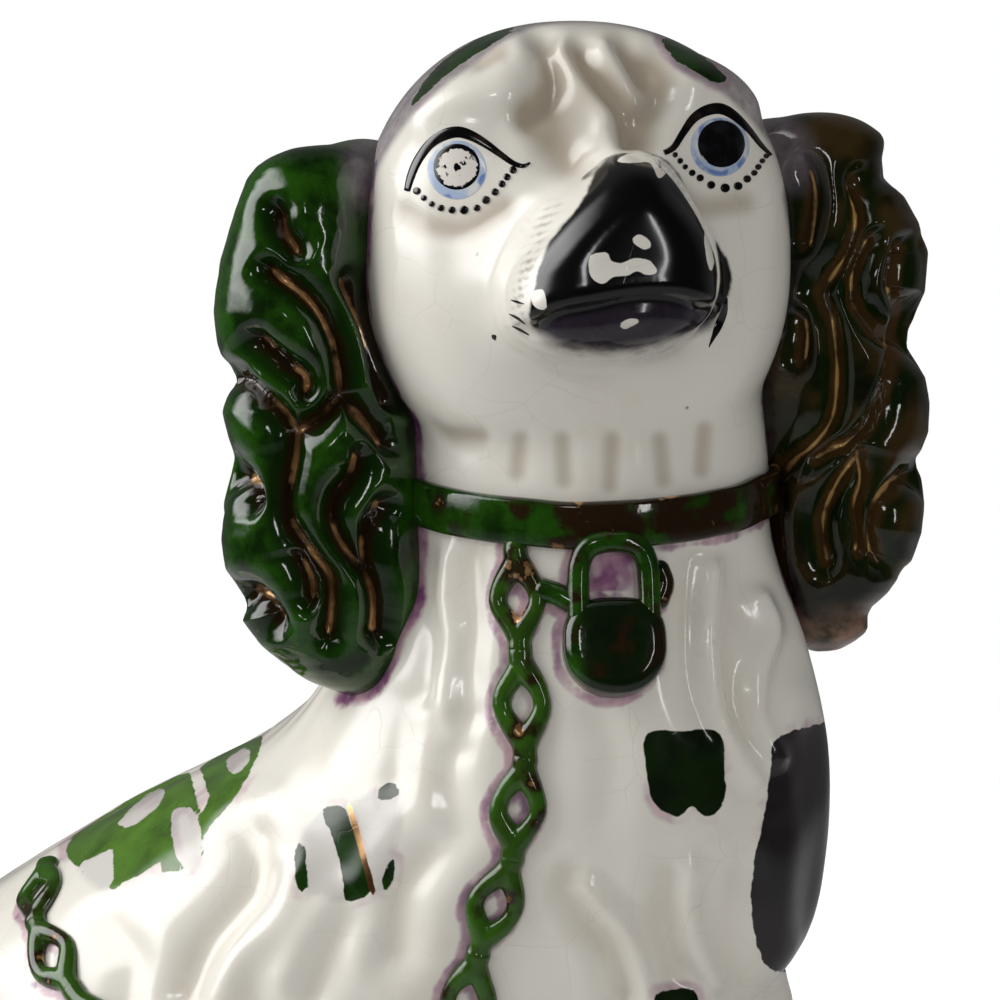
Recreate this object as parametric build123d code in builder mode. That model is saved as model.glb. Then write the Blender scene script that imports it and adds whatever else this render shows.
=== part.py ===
from build123d import *

import os
from math import cos, radians, sin

# Seated spaniel ornament with turned head, hollow press-moulded earthenware
# The body and the head are thin shells pressed in two-part moulds and luted along their seams.
# Ears, legs, feet, tail, collar, padlock and chain links are pressed apart and luted on,
# and a slab with a vent hole closes the bottom. Millimetres, +Z up, +X the way the body points,
# -Y the display side, origin on the resting face.

# Body: how far it reaches from the origin, and the height of the joint at the neck
rump_reach = 103.0
chest_reach = 97.0
body_half_depth = 52.0
joint_height = 165.5
wall = 5.0
slab_thickness = 6.0
vent_diameter = 11.0
vent_setback = 40.0

# Body outline, as shares of joint height, rump reach, chest reach and half depth, and fullness of the rear
body_outline = [
    (0.000, 0.95, 0.35, 0.85, 0.10),
    (0.085, 1.00, 0.41, 0.94, 0.12),
    (0.218, 1.00, 0.51, 1.00, 0.12),
    (0.351, 0.92, 0.72, 0.98, 0.10),
    (0.484, 0.72, 0.94, 0.90, 0.06),
    (0.604, 0.42, 1.00, 0.85, 0.02),
    (0.725, 0.09, 1.00, 0.79, 0.00),
    (0.846, -0.09, 0.95, 0.71, 0.00),
]

# Haunches: rounded swellings of the body over the hind feet
haunch_setback = 36.0
haunch_rise = 38.0
haunch_tuck = 20.0
haunch_half_length = 46.0
haunch_half_width = 25.0
haunch_half_height = 36.0

# Neck: the collar hides the joint between body and head
neck_setback = 45.5
neck_x = chest_reach - neck_setback
neck_half_length = 34.0
neck_half_depth = 33.0
neck_rise = 25.0
neck_taper = 6.0
collar_height = 9.5
collar_relief = 2.2

# Head: an egg along the way the face looks, with the muzzle drawn out of it
head_rise = 42.8
head_forward = -0.5
head_aside = 4.0
head_turn = 30.0
head_pitch = 8.0
head_roll = 4.0
skull_half_width = 38.0
skull_half_height = 41.0
skull_back = 38.0
face_depth = 27.0
seam_setback = 3.0
muzzle_length = 27.0
muzzle_half_width = 18.5
muzzle_half_height = 17.5
muzzle_drop = 1.5
muzzle_taper = 0.30
eye_spread = 22.5
eye_rise = 17.0
eye_radius = 10.0
eye_relief = 1.6

# Ears: hanging lobes with waved grooves cut between the locks
ear_top = 22.0
ear_length = 99.0
ear_half_width = 16.5
ear_half_depth = 16.5
ear_sink = 7.5
groove_half_width = 2.6
groove_depth = 3.2
groove_wave_radius = 13.0
groove_wave_arc = 76.0
groove_waves = 5
groove_start = 15.0
groove_angles = (-38, 0, 38, 76, 114, 152)

# Forelegs and hind feet
foreleg_setback = 24.0
foreleg_spread = 17.5
foreleg_half_length = 11.5
foreleg_half_width = 11.0
foreleg_top = 96.0
forepaw_half_length = 19.5
forepaw_half_width = 15.0
forepaw_height = 12.0
forepaw_forward = 7.0
hind_foot_setback = 9.8
hind_foot_tuck = 12.0
hind_foot_half_length = 28.0
hind_foot_half_width = 13.0
hind_foot_height = 28.0
toe_groove_radius = 1.6
toe_spacing = 8.0

# Tail: a plume that climbs the rump, as turns from straight behind and shares of the joint height
tail_radius = 13.0
tail_turns = (18, 26, 36, 48, 60)
tail_heights = (0.06, 0.17, 0.29, 0.38, 0.43)
tail_swell = (0.75, 1.0, 1.0, 0.8, 0.4)

# Padlock hung from the collar, placed as it lies seen from the display side
display_turn = 20.0
padlock_aside = 5.1
padlock_across = neck_x * cos(radians(display_turn)) + padlock_aside
padlock_hang = 15.5
padlock_half_width = 9.2
padlock_square = 9.5
padlock_relief = 4.2
padlock_edge = 1.6
shackle_radius = 1.8
shackle_half_width = 6.2
shackle_leg = 4.0
lug_radius = 2.3
lug_relief = 5.2
tie_radius = 1.5

# Chain of moulded links: it drops beside the padlock, then crosses the flank to the back
link_count = 11
link_half_width = 5.2
link_bar = 2.7
link_relief = 2.4
link_edge = 0.9
link_tip_radius = 1.2
link_gap = 0.3
seat_depth = 4.0
chain_aside = 16.5
route_steps = 48

# Heights of the chain's drop, and the flank's part of its route, as shares of joint height and reach
chain_drop = (0.982, 0.790)
flank_route = [
    (0.340, 0.541),
    (0.130, 0.358),
    (-0.170, 0.338),
    (-0.400, 0.459),
    (-0.470, 0.561),
]

os.makedirs("parts", exist_ok=True)


def oval(half_length, half_width, fuller=0.0, narrow_top=0.0, lift=0.0):
    """Closed outline whose first point is on -X, fuller towards -X or narrower towards +Y."""
    points = []
    for step in range(8):
        angle = radians(45 * step + 180)
        along = half_length * cos(angle) * (1 - narrow_top * sin(angle))
        across = half_width * sin(angle) * (1 - fuller * cos(angle))
        points.append((along, across + lift))
    with BuildLine() as outline:
        Spline(*points, periodic=True)
    return outline.line


def section(plane, half_length, half_width, fuller=0.0, narrow_top=0.0, lift=0.0):
    """An oval face on a plane."""
    with BuildSketch(plane) as sketch:
        add(oval(half_length, half_width, fuller, narrow_top, lift))
        make_face()
    return sketch.sketch


def neck_section(height, outset=0.0):
    """One level section of the neck."""
    return section(Plane((neck_x, 0, height)), neck_half_length + outset, neck_half_depth + outset)


def body_sections(inset=0.0):
    """Level sections of the body from the ground to the joint at the neck."""
    sections = []
    for rise, rear_share, front_share, depth_share, fuller in body_outline:
        rear, front = -rear_share * rump_reach, front_share * chest_reach
        plane = Plane(((rear + front) / 2, 0, rise * joint_height))
        half_depth = depth_share * body_half_depth
        sections.append(section(plane, (front - rear) / 2 - inset, half_depth - inset, fuller))
    sections.append(neck_section(joint_height - collar_height / 2, -inset))
    sections.append(neck_section(joint_height, -inset))
    return sections


def surface_hit(form, start, direction):
    """First point where a straight line meets a form, with the outward normal there."""
    line = Axis(start, direction)
    hits = [hit for face in form.faces() for hit in face.find_intersection_points(line)]
    return min(hits, key=lambda hit: (hit[0] - start).length)


def largest_solid(shape):
    """The main solid left after a piece has been cut by its neighbours."""
    return shape.solids().sort_by(SortBy.VOLUME)[-1]


# Body form with its haunches, and the hollow inside it
haunch_sizes = (haunch_half_length, haunch_half_width, haunch_half_height)
haunch_form = scale(Sphere(1, mode=Mode.PRIVATE), by=haunch_sizes, mode=Mode.PRIVATE)
with BuildPart() as body_form:
    loft(body_sections())
    for side in (-1, 1):
        with Locations((-haunch_setback, side * (body_half_depth - haunch_tuck), haunch_rise)):
            add(haunch_form)

with BuildPart() as body_hollow:
    loft(body_sections(wall))

# Body shells, the display half and the far half of the mould
with BuildPart() as body_shell:
    add(body_form.part)
    add(body_hollow.part, mode=Mode.SUBTRACT)

with BuildPart() as front_shell:
    add(body_shell.part)
    split(bisect_by=Plane.XZ, keep=Keep.TOP)
front_shell.part.label = "front_shell"
export_step(front_shell.part, "parts/front_shell.step")

with BuildPart() as rear_shell:
    add(body_shell.part)
    split(bisect_by=Plane.XZ, keep=Keep.BOTTOM)
rear_shell.part.label = "rear_shell"
export_step(rear_shell.part, "parts/rear_shell.step")

# Base slab with the vent hole that lets the air out in the kiln
with BuildPart() as base_slab:
    add(body_hollow.part)
    split(bisect_by=Plane.XY.offset(slab_thickness), keep=Keep.BOTTOM)
    with Locations((-vent_setback, 0, slab_thickness)):
        Hole(vent_diameter / 2)
base_slab.part.label = "base_slab"
export_step(base_slab.part, "parts/base_slab.step")

# Head frame: Z looks out of the face and Y up the brow, and the ears hang level
turn, pitch = radians(head_turn), radians(head_pitch)
level_facing = Vector(sin(turn), -cos(turn), 0)
facing = level_facing * cos(pitch) + Vector(0, 0, sin(pitch))
level_right = Vector(cos(turn), sin(turn), 0)
head_centre = Vector(neck_x + head_forward, -head_aside, joint_height + head_rise)
head_right = level_right.rotate(Axis((0, 0, 0), facing), head_roll)
head_plane = Plane(origin=head_centre, x_dir=head_right, z_dir=facing)
ear_right = level_right.rotate(Axis((0, 0, 0), level_facing), head_roll)
ear_plane = Plane(origin=head_centre, x_dir=ear_right, z_dir=level_facing)


def head_sections(stations, inset=0.0):
    """Sections across the way the head looks: depth, half width, half height, drop, taper."""
    sections = []
    for depth, half_width, half_height, drop, taper in stations:
        plane = head_plane.offset(depth)
        sections.append(section(plane, half_width - inset, half_height - inset, 0.0, taper, -drop))
    return sections


def head_point(across, up, depth):
    """A point of the head in the figure's frame."""
    return head_plane.from_local_coords(Vector(across, up, depth))


skull_stations = [
    (-0.90 * skull_back, 0.42 * skull_half_width, 0.42 * skull_half_height, 0, 0),
    (-0.60 * skull_back, 0.80 * skull_half_width, 0.80 * skull_half_height, 0, 0),
    (-0.12 * skull_back, skull_half_width, skull_half_height, 0, 0),
    (0.42 * face_depth, 0.97 * skull_half_width, 0.97 * skull_half_height, 0, 0),
    (0.80 * face_depth, 0.83 * skull_half_width, 0.85 * skull_half_height, 0, 0),
]
muzzle_stations = []
muzzle_swells = ((0.0, 1.45, 0.3), (0.20, 1.12, 0.8), (0.60, 1.0, 1.0), (0.85, 0.80, 1.0), (1.0, 0.50, 1.0))
for reach, swell, fall in muzzle_swells:
    depth = face_depth + reach * muzzle_length
    sizes = (swell * muzzle_half_width, swell * muzzle_half_height)
    muzzle_stations.append((depth, *sizes, fall * muzzle_drop, fall * muzzle_taper))
skull_pole = Vertex(*head_point(0, 0, -skull_back))

# Head form with its neck and raised eyes, and the hollow inside it
with BuildPart() as head_egg:
    loft([skull_pole, *head_sections(skull_stations + muzzle_stations)])

with BuildPart() as head_form:
    add(head_egg.part)
    loft([neck_section(joint_height), neck_section(joint_height + neck_rise, -neck_taper)])
    for side in (-1, 1):
        start = head_point(side * eye_spread, eye_rise, 3 * face_depth)
        eye_point, eye_normal = surface_hit(head_egg.part, start, -facing)
        with Locations(eye_point - eye_normal * (eye_radius - eye_relief)):
            Sphere(eye_radius)

with BuildPart() as head_hollow:
    loft(head_sections(skull_stations, wall))
    throat = neck_section(joint_height + neck_rise, -neck_taper - wall)
    loft([neck_section(joint_height, -wall), throat])

with BuildPart() as head_shell:
    add(head_form.part)
    add(head_hollow.part, mode=Mode.SUBTRACT)

with BuildPart() as head_front:
    add(head_shell.part)
    split(bisect_by=head_plane.offset(-seam_setback), keep=Keep.TOP)
head_front.part.label = "head_front"
export_step(head_front.part, "parts/head_front.step")

with BuildPart() as head_rear:
    add(head_shell.part)
    split(bisect_by=head_plane.offset(-seam_setback), keep=Keep.BOTTOM)
head_rear.part.label = "head_rear"
export_step(head_rear.part, "parts/head_rear.step")

# Collar: a band round the neck over the joint
with BuildPart() as collar:
    collar_foot = neck_section(joint_height - collar_height / 2, collar_relief)
    collar_rim = neck_section(joint_height + collar_height / 2, collar_relief)
    loft([collar_foot, collar_rim])
    add(body_form.part, mode=Mode.SUBTRACT)
    add(head_form.part, mode=Mode.SUBTRACT)
collar.part.label = "collar"
export_step(collar.part, "parts/collar.step")


# Ears: hanging lobes luted to the sides of the head
ear_spread = skull_half_width + ear_half_width - ear_sink
ear_outline = [
    (0.04, 0.45, 0.45, -0.17),
    (0.13, 0.80, 0.82, -0.06),
    (0.28, 1.00, 1.00, 0.03),
    (0.45, 0.93, 0.97, 0.03),
    (0.64, 1.00, 1.00, 0.00),
    (0.82, 0.90, 0.92, -0.11),
    (0.94, 0.58, 0.60, -0.22),
]


def ear_point(share, shift):
    """A point on the middle line of the left ear, down from its root."""
    rise = ear_top - share * ear_length
    return ear_plane.from_local_coords(Vector(ear_spread + shift * ear_half_width, rise, 0))


def ear_lobe():
    """The left ear as a plain lobe."""
    sections = [Vertex(*ear_point(0.0, -0.22))]
    for share, width_share, depth_share, shift in ear_outline:
        plane = Plane(ear_point(share, shift), x_dir=ear_plane.x_dir, z_dir=ear_plane.y_dir)
        sections.append(section(plane, width_share * ear_half_width, depth_share * ear_half_depth))
    sections.append(Vertex(*ear_point(1.0, -0.33)))
    with BuildPart() as lobe:
        loft(sections)
    return lobe.part


def ear_groove(angle):
    """A waved groove down the left ear, turned from the front of the ear towards its outer side."""
    turned = radians(angle)
    outward = ear_plane.x_dir * sin(turned) + ear_plane.z_dir * cos(turned)
    reach = ((ear_half_width * sin(turned)) ** 2 + (ear_half_depth * cos(turned)) ** 2) ** 0.5
    origin = ear_point(groove_start / ear_length, 0.0) + outward * reach
    plane = Plane(origin, x_dir=ear_plane.y_dir.cross(outward), z_dir=outward)
    with BuildPart() as groove:
        with BuildLine(plane) as wave:
            lean = radians(groove_wave_arc / 2)
            bend = JernArc((0, 0), (-sin(lean), -cos(lean)), groove_wave_radius, groove_wave_arc)
            for half_wave in range(1, groove_waves):
                arc = groove_wave_arc * (-1) ** half_wave
                bend = JernArc(bend @ 1, bend % 1, groove_wave_radius, arc)
        start_plane = Plane(wave.line @ 0, x_dir=outward, z_dir=wave.line % 0)
        with BuildSketch(start_plane):
            with BuildLine():
                top = groove_depth
                edge = groove_half_width * 2
                Polyline((-groove_depth, 0), (top, edge), (top, -edge), close=True)
            make_face()
        sweep(path=wave.line)
    return groove.part


with BuildPart() as grooved_lobe:
    add(ear_lobe())
    add([ear_groove(angle) for angle in groove_angles], mode=Mode.SUBTRACT)
head_middle = Plane(head_centre, x_dir=ear_plane.y_dir, z_dir=ear_plane.x_dir)
other_lobe = mirror(grooved_lobe.part, about=head_middle, mode=Mode.PRIVATE)
for lobe, name in ((grooved_lobe.part, "left_ear"), (other_lobe, "right_ear")):
    with BuildPart() as ear:
        add(lobe)
        for neighbour in (head_form, body_form, collar):
            add(neighbour.part, mode=Mode.SUBTRACT)
    with BuildPart() as ear_piece:
        add(largest_solid(ear.part))
    ear_piece.part.label = name
    export_step(ear_piece.part, f"parts/{name}.step")

# Forelegs: a paw with cut toes, a slim pastern and an upper arm that swells into the chest
foreleg_x = chest_reach - foreleg_setback
foreleg_outline = [
    (0.0, forepaw_forward, 0.92 * forepaw_half_length, 0.93 * forepaw_half_width),
    (0.45 * forepaw_height, forepaw_forward, forepaw_half_length, forepaw_half_width),
    (forepaw_height, 0.80 * forepaw_forward, 0.88 * forepaw_half_length, 0.92 * forepaw_half_width),
    (0.22 * foreleg_top, 0.25 * forepaw_forward, 1.10 * foreleg_half_length, 1.08 * foreleg_half_width),
    (0.37 * foreleg_top, 0.0, foreleg_half_length, foreleg_half_width),
    (0.53 * foreleg_top, 0.0, 1.10 * foreleg_half_length, 1.10 * foreleg_half_width),
    (0.69 * foreleg_top, 0.0, 1.25 * foreleg_half_length, 1.22 * foreleg_half_width),
    (0.85 * foreleg_top, -0.8 * forepaw_forward, 1.20 * foreleg_half_length, 1.20 * foreleg_half_width),
    (foreleg_top, -2.0 * forepaw_forward, foreleg_half_length, foreleg_half_width),
]
forelegs = []
for side, name in ((-1, "right_foreleg"), (1, "left_foreleg")):
    with BuildPart() as foreleg:
        sections = []
        for height, forward, half_length, half_width in foreleg_outline:
            plane = Plane((foreleg_x + forward, side * foreleg_spread, height))
            sections.append(section(plane, half_length, half_width))
        loft(sections)
        toe_x = foreleg_x + forepaw_forward + forepaw_half_length
        with Locations(Plane((toe_x, side * foreleg_spread, forepaw_height / 2))):
            with GridLocations(0, toe_spacing, 1, 2):
                Cylinder(toe_groove_radius, 2 * forepaw_height, mode=Mode.SUBTRACT)
        add(body_form.part, mode=Mode.SUBTRACT)
    with BuildPart() as foreleg_piece:
        add(largest_solid(foreleg.part))
    foreleg_piece.part.label = name
    export_step(foreleg_piece.part, f"parts/{name}.step")
    forelegs.append(foreleg_piece)

# Hind feet: long low feet that come out from under the haunches
hind_foot_outline = [
    (0.00, 0.96, 0.93, 0.04),
    (0.21, 1.00, 1.00, 0.04),
    (0.50, 0.86, 0.88, -0.07),
    (0.79, 0.50, 0.62, -0.28),
]
hind_foot_x = body_outline[1][2] * chest_reach - hind_foot_setback
for side, name in ((-1, "right_hind_foot"), (1, "left_hind_foot")):
    foot_y = side * (body_half_depth - hind_foot_tuck)
    with BuildPart() as hind_foot:
        sections = []
        for rise, length_share, width_share, shift in hind_foot_outline:
            plane = Plane((hind_foot_x + shift * hind_foot_half_length, foot_y, rise * hind_foot_height))
            half_length = length_share * hind_foot_half_length
            sections.append(section(plane, half_length, width_share * hind_foot_half_width))
        sections.append(Vertex(hind_foot_x - 0.36 * hind_foot_half_length, foot_y, hind_foot_height))
        loft(sections)
        toe_x = hind_foot_x + hind_foot_half_length
        with Locations(Plane((toe_x, foot_y, hind_foot_height / 4))):
            with GridLocations(0, toe_spacing, 1, 2):
                Cylinder(toe_groove_radius, hind_foot_height, mode=Mode.SUBTRACT)
        for neighbour in (body_form, *forelegs):
            add(neighbour.part, mode=Mode.SUBTRACT)
    with BuildPart() as hind_foot_piece:
        add(largest_solid(hind_foot.part))
    hind_foot_piece.part.label = name
    export_step(hind_foot_piece.part, f"parts/{name}.step")

# Tail: a plume laid against the rump on the display side
rump_middle = (body_outline[2][2] * chest_reach - rump_reach) / 2
tail_points = []
for tail_turn, height_share in zip(tail_turns, tail_heights):
    turned = radians(tail_turn)
    outward = Vector(-cos(turned), -sin(turned), 0)
    start = Vector(rump_middle, 0, height_share * joint_height) + outward * 2 * rump_reach
    tail_points.append(surface_hit(body_form.part, start, -outward)[0])
with BuildPart() as tail:
    with BuildLine() as tail_line:
        Spline(*tail_points)
    sections = []
    for step, swell in enumerate(tail_swell):
        share = step / (len(tail_swell) - 1)
        with BuildSketch(Plane(tail_line.line @ share, z_dir=tail_line.line % share)) as tail_section:
            Circle(swell * tail_radius)
        sections.append(tail_section.sketch)
    loft(sections)
    split(bisect_by=Plane.XY, keep=Keep.TOP)
    add(body_form.part, mode=Mode.SUBTRACT)
with BuildPart() as tail_piece:
    add(largest_solid(tail.part))
tail_piece.part.label = "tail"
export_step(tail_piece.part, "parts/tail.step")

# Display side: a straight look at the figure, as across and height
display_right = Vector(cos(radians(display_turn)), sin(radians(display_turn)), 0)
display_look = Vector(-sin(radians(display_turn)), cos(radians(display_turn)), 0)
up = Vector(0, 0, 1)


def chest_hit(across, height):
    """Where a look from the display side meets the body."""
    start = display_right * across + up * height - display_look * 3 * body_half_depth
    return surface_hit(body_form.part, start, display_look)


# Padlock: a round-bottomed body with its shackle, hinge lug and the tie to the first link
collar_foot_height = joint_height - collar_height / 2
lock_height = collar_foot_height - padlock_hang
lock_point, chest_normal = chest_hit(padlock_across, lock_height)
lock_foot = chest_hit(padlock_across, lock_height - padlock_half_width)[0]
lock_crown = chest_hit(padlock_across, collar_foot_height)[0]
lock_right = up.cross(chest_normal).normalized()
lock_normal = lock_right.cross(lock_crown - lock_foot).normalized()
lock_plane = Plane(lock_point, x_dir=lock_right, z_dir=lock_normal)
with BuildPart() as padlock_body:
    with BuildSketch(lock_plane.offset(-seat_depth)):
        with BuildLine():
            lock_side = Line((-padlock_half_width, 0), (-padlock_half_width, padlock_square))
            lock_top = Line(lock_side @ 1, (padlock_half_width, padlock_square))
            Line(lock_top @ 1, (padlock_half_width, 0))
            ThreePointArc((padlock_half_width, 0), (0, -padlock_half_width), (-padlock_half_width, 0))
        make_face()
    extrude(amount=seat_depth + padlock_relief)
    fillet(padlock_body.faces().sort_by(Axis(lock_point, lock_normal))[-1].edges(), padlock_edge)
    add(body_form.part, mode=Mode.SUBTRACT)
padlock_body.part.label = "padlock_body"
export_step(padlock_body.part, "parts/padlock_body.step")

with BuildPart() as padlock_shackle:
    with BuildLine(lock_plane.offset(shackle_radius)) as bow:
        left_leg = Line((-shackle_half_width, 0), (-shackle_half_width, padlock_square + shackle_leg))
        bow_arc = JernArc(left_leg @ 1, left_leg % 1, shackle_half_width, -180)
        Line(bow_arc @ 1, (shackle_half_width, 0))
    with BuildSketch(Plane(bow.line @ 0, z_dir=bow.line % 0)):
        Circle(shackle_radius)
    sweep(path=bow.line)
    for neighbour in (padlock_body, body_form, collar):
        add(neighbour.part, mode=Mode.SUBTRACT)
with BuildPart() as shackle_piece:
    add(largest_solid(padlock_shackle.part))
shackle_piece.part.label = "padlock_shackle"
export_step(shackle_piece.part, "parts/padlock_shackle.step")

with BuildPart() as padlock_lug:
    lug_plane = lock_plane.offset(-seat_depth)
    with BuildSketch(lug_plane):
        with Locations((padlock_half_width - lug_radius, padlock_square + lug_radius)):
            Circle(lug_radius)
    extrude(amount=seat_depth + lug_relief)
    chamfer(padlock_lug.faces().sort_by(Axis(lock_point, lock_normal))[-1].edges(), lug_radius / 3)
    for neighbour in (padlock_body, shackle_piece, body_form):
        add(neighbour.part, mode=Mode.SUBTRACT)
with BuildPart() as lug_piece:
    add(largest_solid(padlock_lug.part))
lug_piece.part.label = "padlock_lug"
export_step(lug_piece.part, "parts/padlock_lug.step")

# Chain: its route across the chest and flank, measured on the surface
with BuildLine() as route:
    points = [(padlock_across - chain_aside, height_share * joint_height) for height_share in chain_drop]
    for across_share, height_share in flank_route:
        reach = chest_reach if across_share > 0 else rump_reach
        points.append((across_share * reach, height_share * joint_height))
    Spline(*points)


def route_hit(share):
    """The point and normal on the body at a share of the chain's route."""
    spot = route.line @ share
    return chest_hit(spot.X, spot.Y)


route_points = [route_hit(step / route_steps)[0] for step in range(route_steps + 1)]
route_lengths = [0.0]
for previous, point in zip(route_points, route_points[1:]):
    route_lengths.append(route_lengths[-1] + (point - previous).length)


def route_share(length):
    """The share of the route at a length along the surface."""
    step = max(index for index in range(route_steps) if route_lengths[index] <= length)
    stretch = route_lengths[step + 1] - route_lengths[step]
    return (step + (length - route_lengths[step]) / stretch) / route_steps


def lens(half_length, half_width):
    """A pointed oval of two arcs."""
    with BuildSketch() as outline:
        with BuildLine():
            for sign in (-1, 1):
                ThreePointArc((-half_length, 0), (0, sign * half_width), (half_length, 0))
        make_face()
    return outline.sketch


pitch_length = route_lengths[-1] / link_count
link_length = pitch_length - link_gap
links = []
for number in range(link_count):
    start = route_hit(route_share(number * pitch_length))[0]
    end = route_hit(route_share((number + 1) * pitch_length - link_gap))[0]
    middle, normal = route_hit(route_share((number + 0.5) * pitch_length))
    link_plane = Plane(middle, x_dir=(end - start) - normal * (end - start).dot(normal), z_dir=normal)
    with BuildPart() as link:
        with BuildSketch(link_plane.offset(-seat_depth)) as outer:
            add(lens(link_length / 2, link_half_width))
            fillet(outer.vertices(), link_tip_radius)
        extrude(amount=seat_depth + link_relief)
        chamfer(link.faces().sort_by(Axis(middle, normal))[-1].edges(), link_edge)
        with BuildSketch(link_plane.offset(-seat_depth)):
            add(lens(link_length / 2 - 2 * link_bar, link_half_width - link_bar))
        extrude(amount=seat_depth + link_relief, mode=Mode.SUBTRACT)
        for neighbour in (body_form, collar, *links[-1:]):
            add(neighbour.part, mode=Mode.SUBTRACT)
    link.part.label = f"chain_link_{number + 1:02d}"
    export_step(link.part, f"parts/{link.part.label}.step")
    links.append(link)

# Tie: a short bar from the padlock's shoulder to the first link
with BuildPart() as padlock_tie:
    shoulder_spot = Vector(tie_radius - padlock_half_width, padlock_square - tie_radius, tie_radius)
    shoulder = lock_plane.from_local_coords(shoulder_spot)
    link_side = lock_plane.x_dir * (link_half_width - link_bar / 2) + lock_normal * tie_radius
    first_link = route_hit(route_share(pitch_length / 2))[0] + link_side
    with BuildSketch(Plane(shoulder, z_dir=first_link - shoulder)):
        Circle(tie_radius)
    extrude(amount=(first_link - shoulder).length)
    for neighbour in (padlock_body, shackle_piece, links[0], body_form):
        add(neighbour.part, mode=Mode.SUBTRACT)
with BuildPart() as tie_piece:
    add(largest_solid(padlock_tie.part))
tie_piece.part.label = "padlock_tie"
export_step(tie_piece.part, "parts/padlock_tie.step")
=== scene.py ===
from math import cos, pi, radians, sin

import bmesh
import bpy
import numpy as np
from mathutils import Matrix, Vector, noise
from mathutils.bvhtree import BVHTree
from mathutils.kdtree import KDTree


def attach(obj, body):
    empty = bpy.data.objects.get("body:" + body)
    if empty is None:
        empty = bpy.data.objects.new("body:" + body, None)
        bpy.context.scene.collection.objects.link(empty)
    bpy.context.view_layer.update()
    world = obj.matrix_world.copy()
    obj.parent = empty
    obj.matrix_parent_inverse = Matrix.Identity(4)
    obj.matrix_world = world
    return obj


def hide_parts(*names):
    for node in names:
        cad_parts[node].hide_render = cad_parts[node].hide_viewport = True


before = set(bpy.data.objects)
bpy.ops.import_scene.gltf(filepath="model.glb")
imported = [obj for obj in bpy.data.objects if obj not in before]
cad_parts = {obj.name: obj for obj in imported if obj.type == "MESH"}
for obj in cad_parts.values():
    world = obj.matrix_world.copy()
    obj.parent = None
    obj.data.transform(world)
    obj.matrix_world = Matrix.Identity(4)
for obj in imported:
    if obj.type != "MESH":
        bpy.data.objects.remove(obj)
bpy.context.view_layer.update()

# Seated spaniel ornament in glazed earthenware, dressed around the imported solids
# Shapes are worked in millimetres and turned into metres when a piece is finished.
MM = 0.001

# The photographer's view, 1000 by 1000 pixels
view_turn = radians(20)
view_drop = radians(9.5)
view_distance = 800.0
view_lens = 160.0
view_sensor = 36.0
aim_across = 33.6
aim_height = 163.8
aim_depth = -21.0
photo_middle = 500.0
photo_scale = 2 * photo_middle * view_lens / view_sensor
pixel_size = 0.176
# Steps that drawn lines and outlines are smoothed in, and distances that are out of reach
line_steps = 4
outline_steps = 3
far_away = 30.0
well_outside = 200.0

up = np.array([0.0, 0.0, 1.0])
level_axes = (np.array([1.0, 0.0, 0.0]), np.array([0.0, 1.0, 0.0]))
view_right = np.array([cos(view_turn), sin(view_turn), 0.0])
view_level = np.array([-sin(view_turn), cos(view_turn), 0.0])
view_forward = view_level * cos(view_drop) - up * sin(view_drop)
view_up = up * cos(view_drop) + view_level * sin(view_drop)
aim_point = view_right * aim_across + view_level * aim_depth + up * aim_height
view_point = aim_point - view_forward * view_distance

# Grain of each skin, and its rounds of smoothing
skins = {
    "body": (1.18, 9),
    "head": (0.62, 16),
    "ear": (0.4, 10),
    "link": (0.28, 4),
    "lock": (0.3, 5),
    "bar": (0.25, 4),
}

# Body, as level rows of height, rear end, front end, half depth and fullness of the rear
joint_height = 165.5
neck_x = 51.5
neck_half_length = 34.0
neck_half_depth = 33.0
body_rows = [
    (0.0, -97.9, 34.0, 44.2, 0.10),
    (14.1, -103.0, 39.8, 48.9, 0.12),
    (36.1, -103.0, 49.5, 52.0, 0.12),
    (58.1, -93.5, 69.8, 51.0, 0.10),
    (80.1, -70.0, 91.2, 46.4, 0.06),
    (100.0, -38.5, 97.0, 43.6, 0.02),
    (120.0, -5.0, 97.0, 40.6, 0.00),
    (140.0, 11.0, 92.2, 36.9, 0.00),
    (157.0, 17.0, 86.0, 33.2, 0.00),
    (168.0, 17.5, 85.5, 32.6, 0.00),
]
haunch_centre = (-36.0, 32.0, 38.0)
haunch_sizes = (46.0, 25.0, 36.0)
# Waves of the coat, by the line that they run around and their number in a radian
coat_middle = 30.0
coat_waves = 5.0

# Forelegs and hind feet, as rows of height, forward shift, half length and half width
foreleg_x = 73.0
foreleg_spread = 17.5
foreleg_rows = [
    (0.0, 7.0, 17.9, 14.0),
    (5.4, 7.0, 19.5, 15.0),
    (12.0, 5.6, 17.2, 13.8),
    (21.1, 1.8, 12.7, 11.9),
    (35.5, 0.0, 11.5, 11.0),
    (50.9, 0.0, 12.7, 12.1),
    (66.2, 0.0, 14.4, 13.4),
    (81.6, -5.6, 13.8, 13.2),
    (96.0, -14.0, 11.5, 11.0),
]
hind_foot_x = 30.0
hind_foot_spread = 40.0
hind_foot_rows = [
    (0.0, 1.1, 26.9, 12.1),
    (5.9, 1.1, 28.0, 13.0),
    (14.0, -2.0, 24.1, 11.4),
    (22.1, -7.8, 14.0, 8.1),
    (27.0, -10.0, 4.0, 2.5),
]
toe_spacing = 8.0

# Tail, as turns from straight behind, heights and radii
tail_rows = [
    (18, 9.9, 9.8),
    (26, 28.1, 13.0),
    (36, 48.0, 13.0),
    (48, 62.9, 10.4),
    (60, 71.2, 5.2),
]
rump_middle = -26.8

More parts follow.
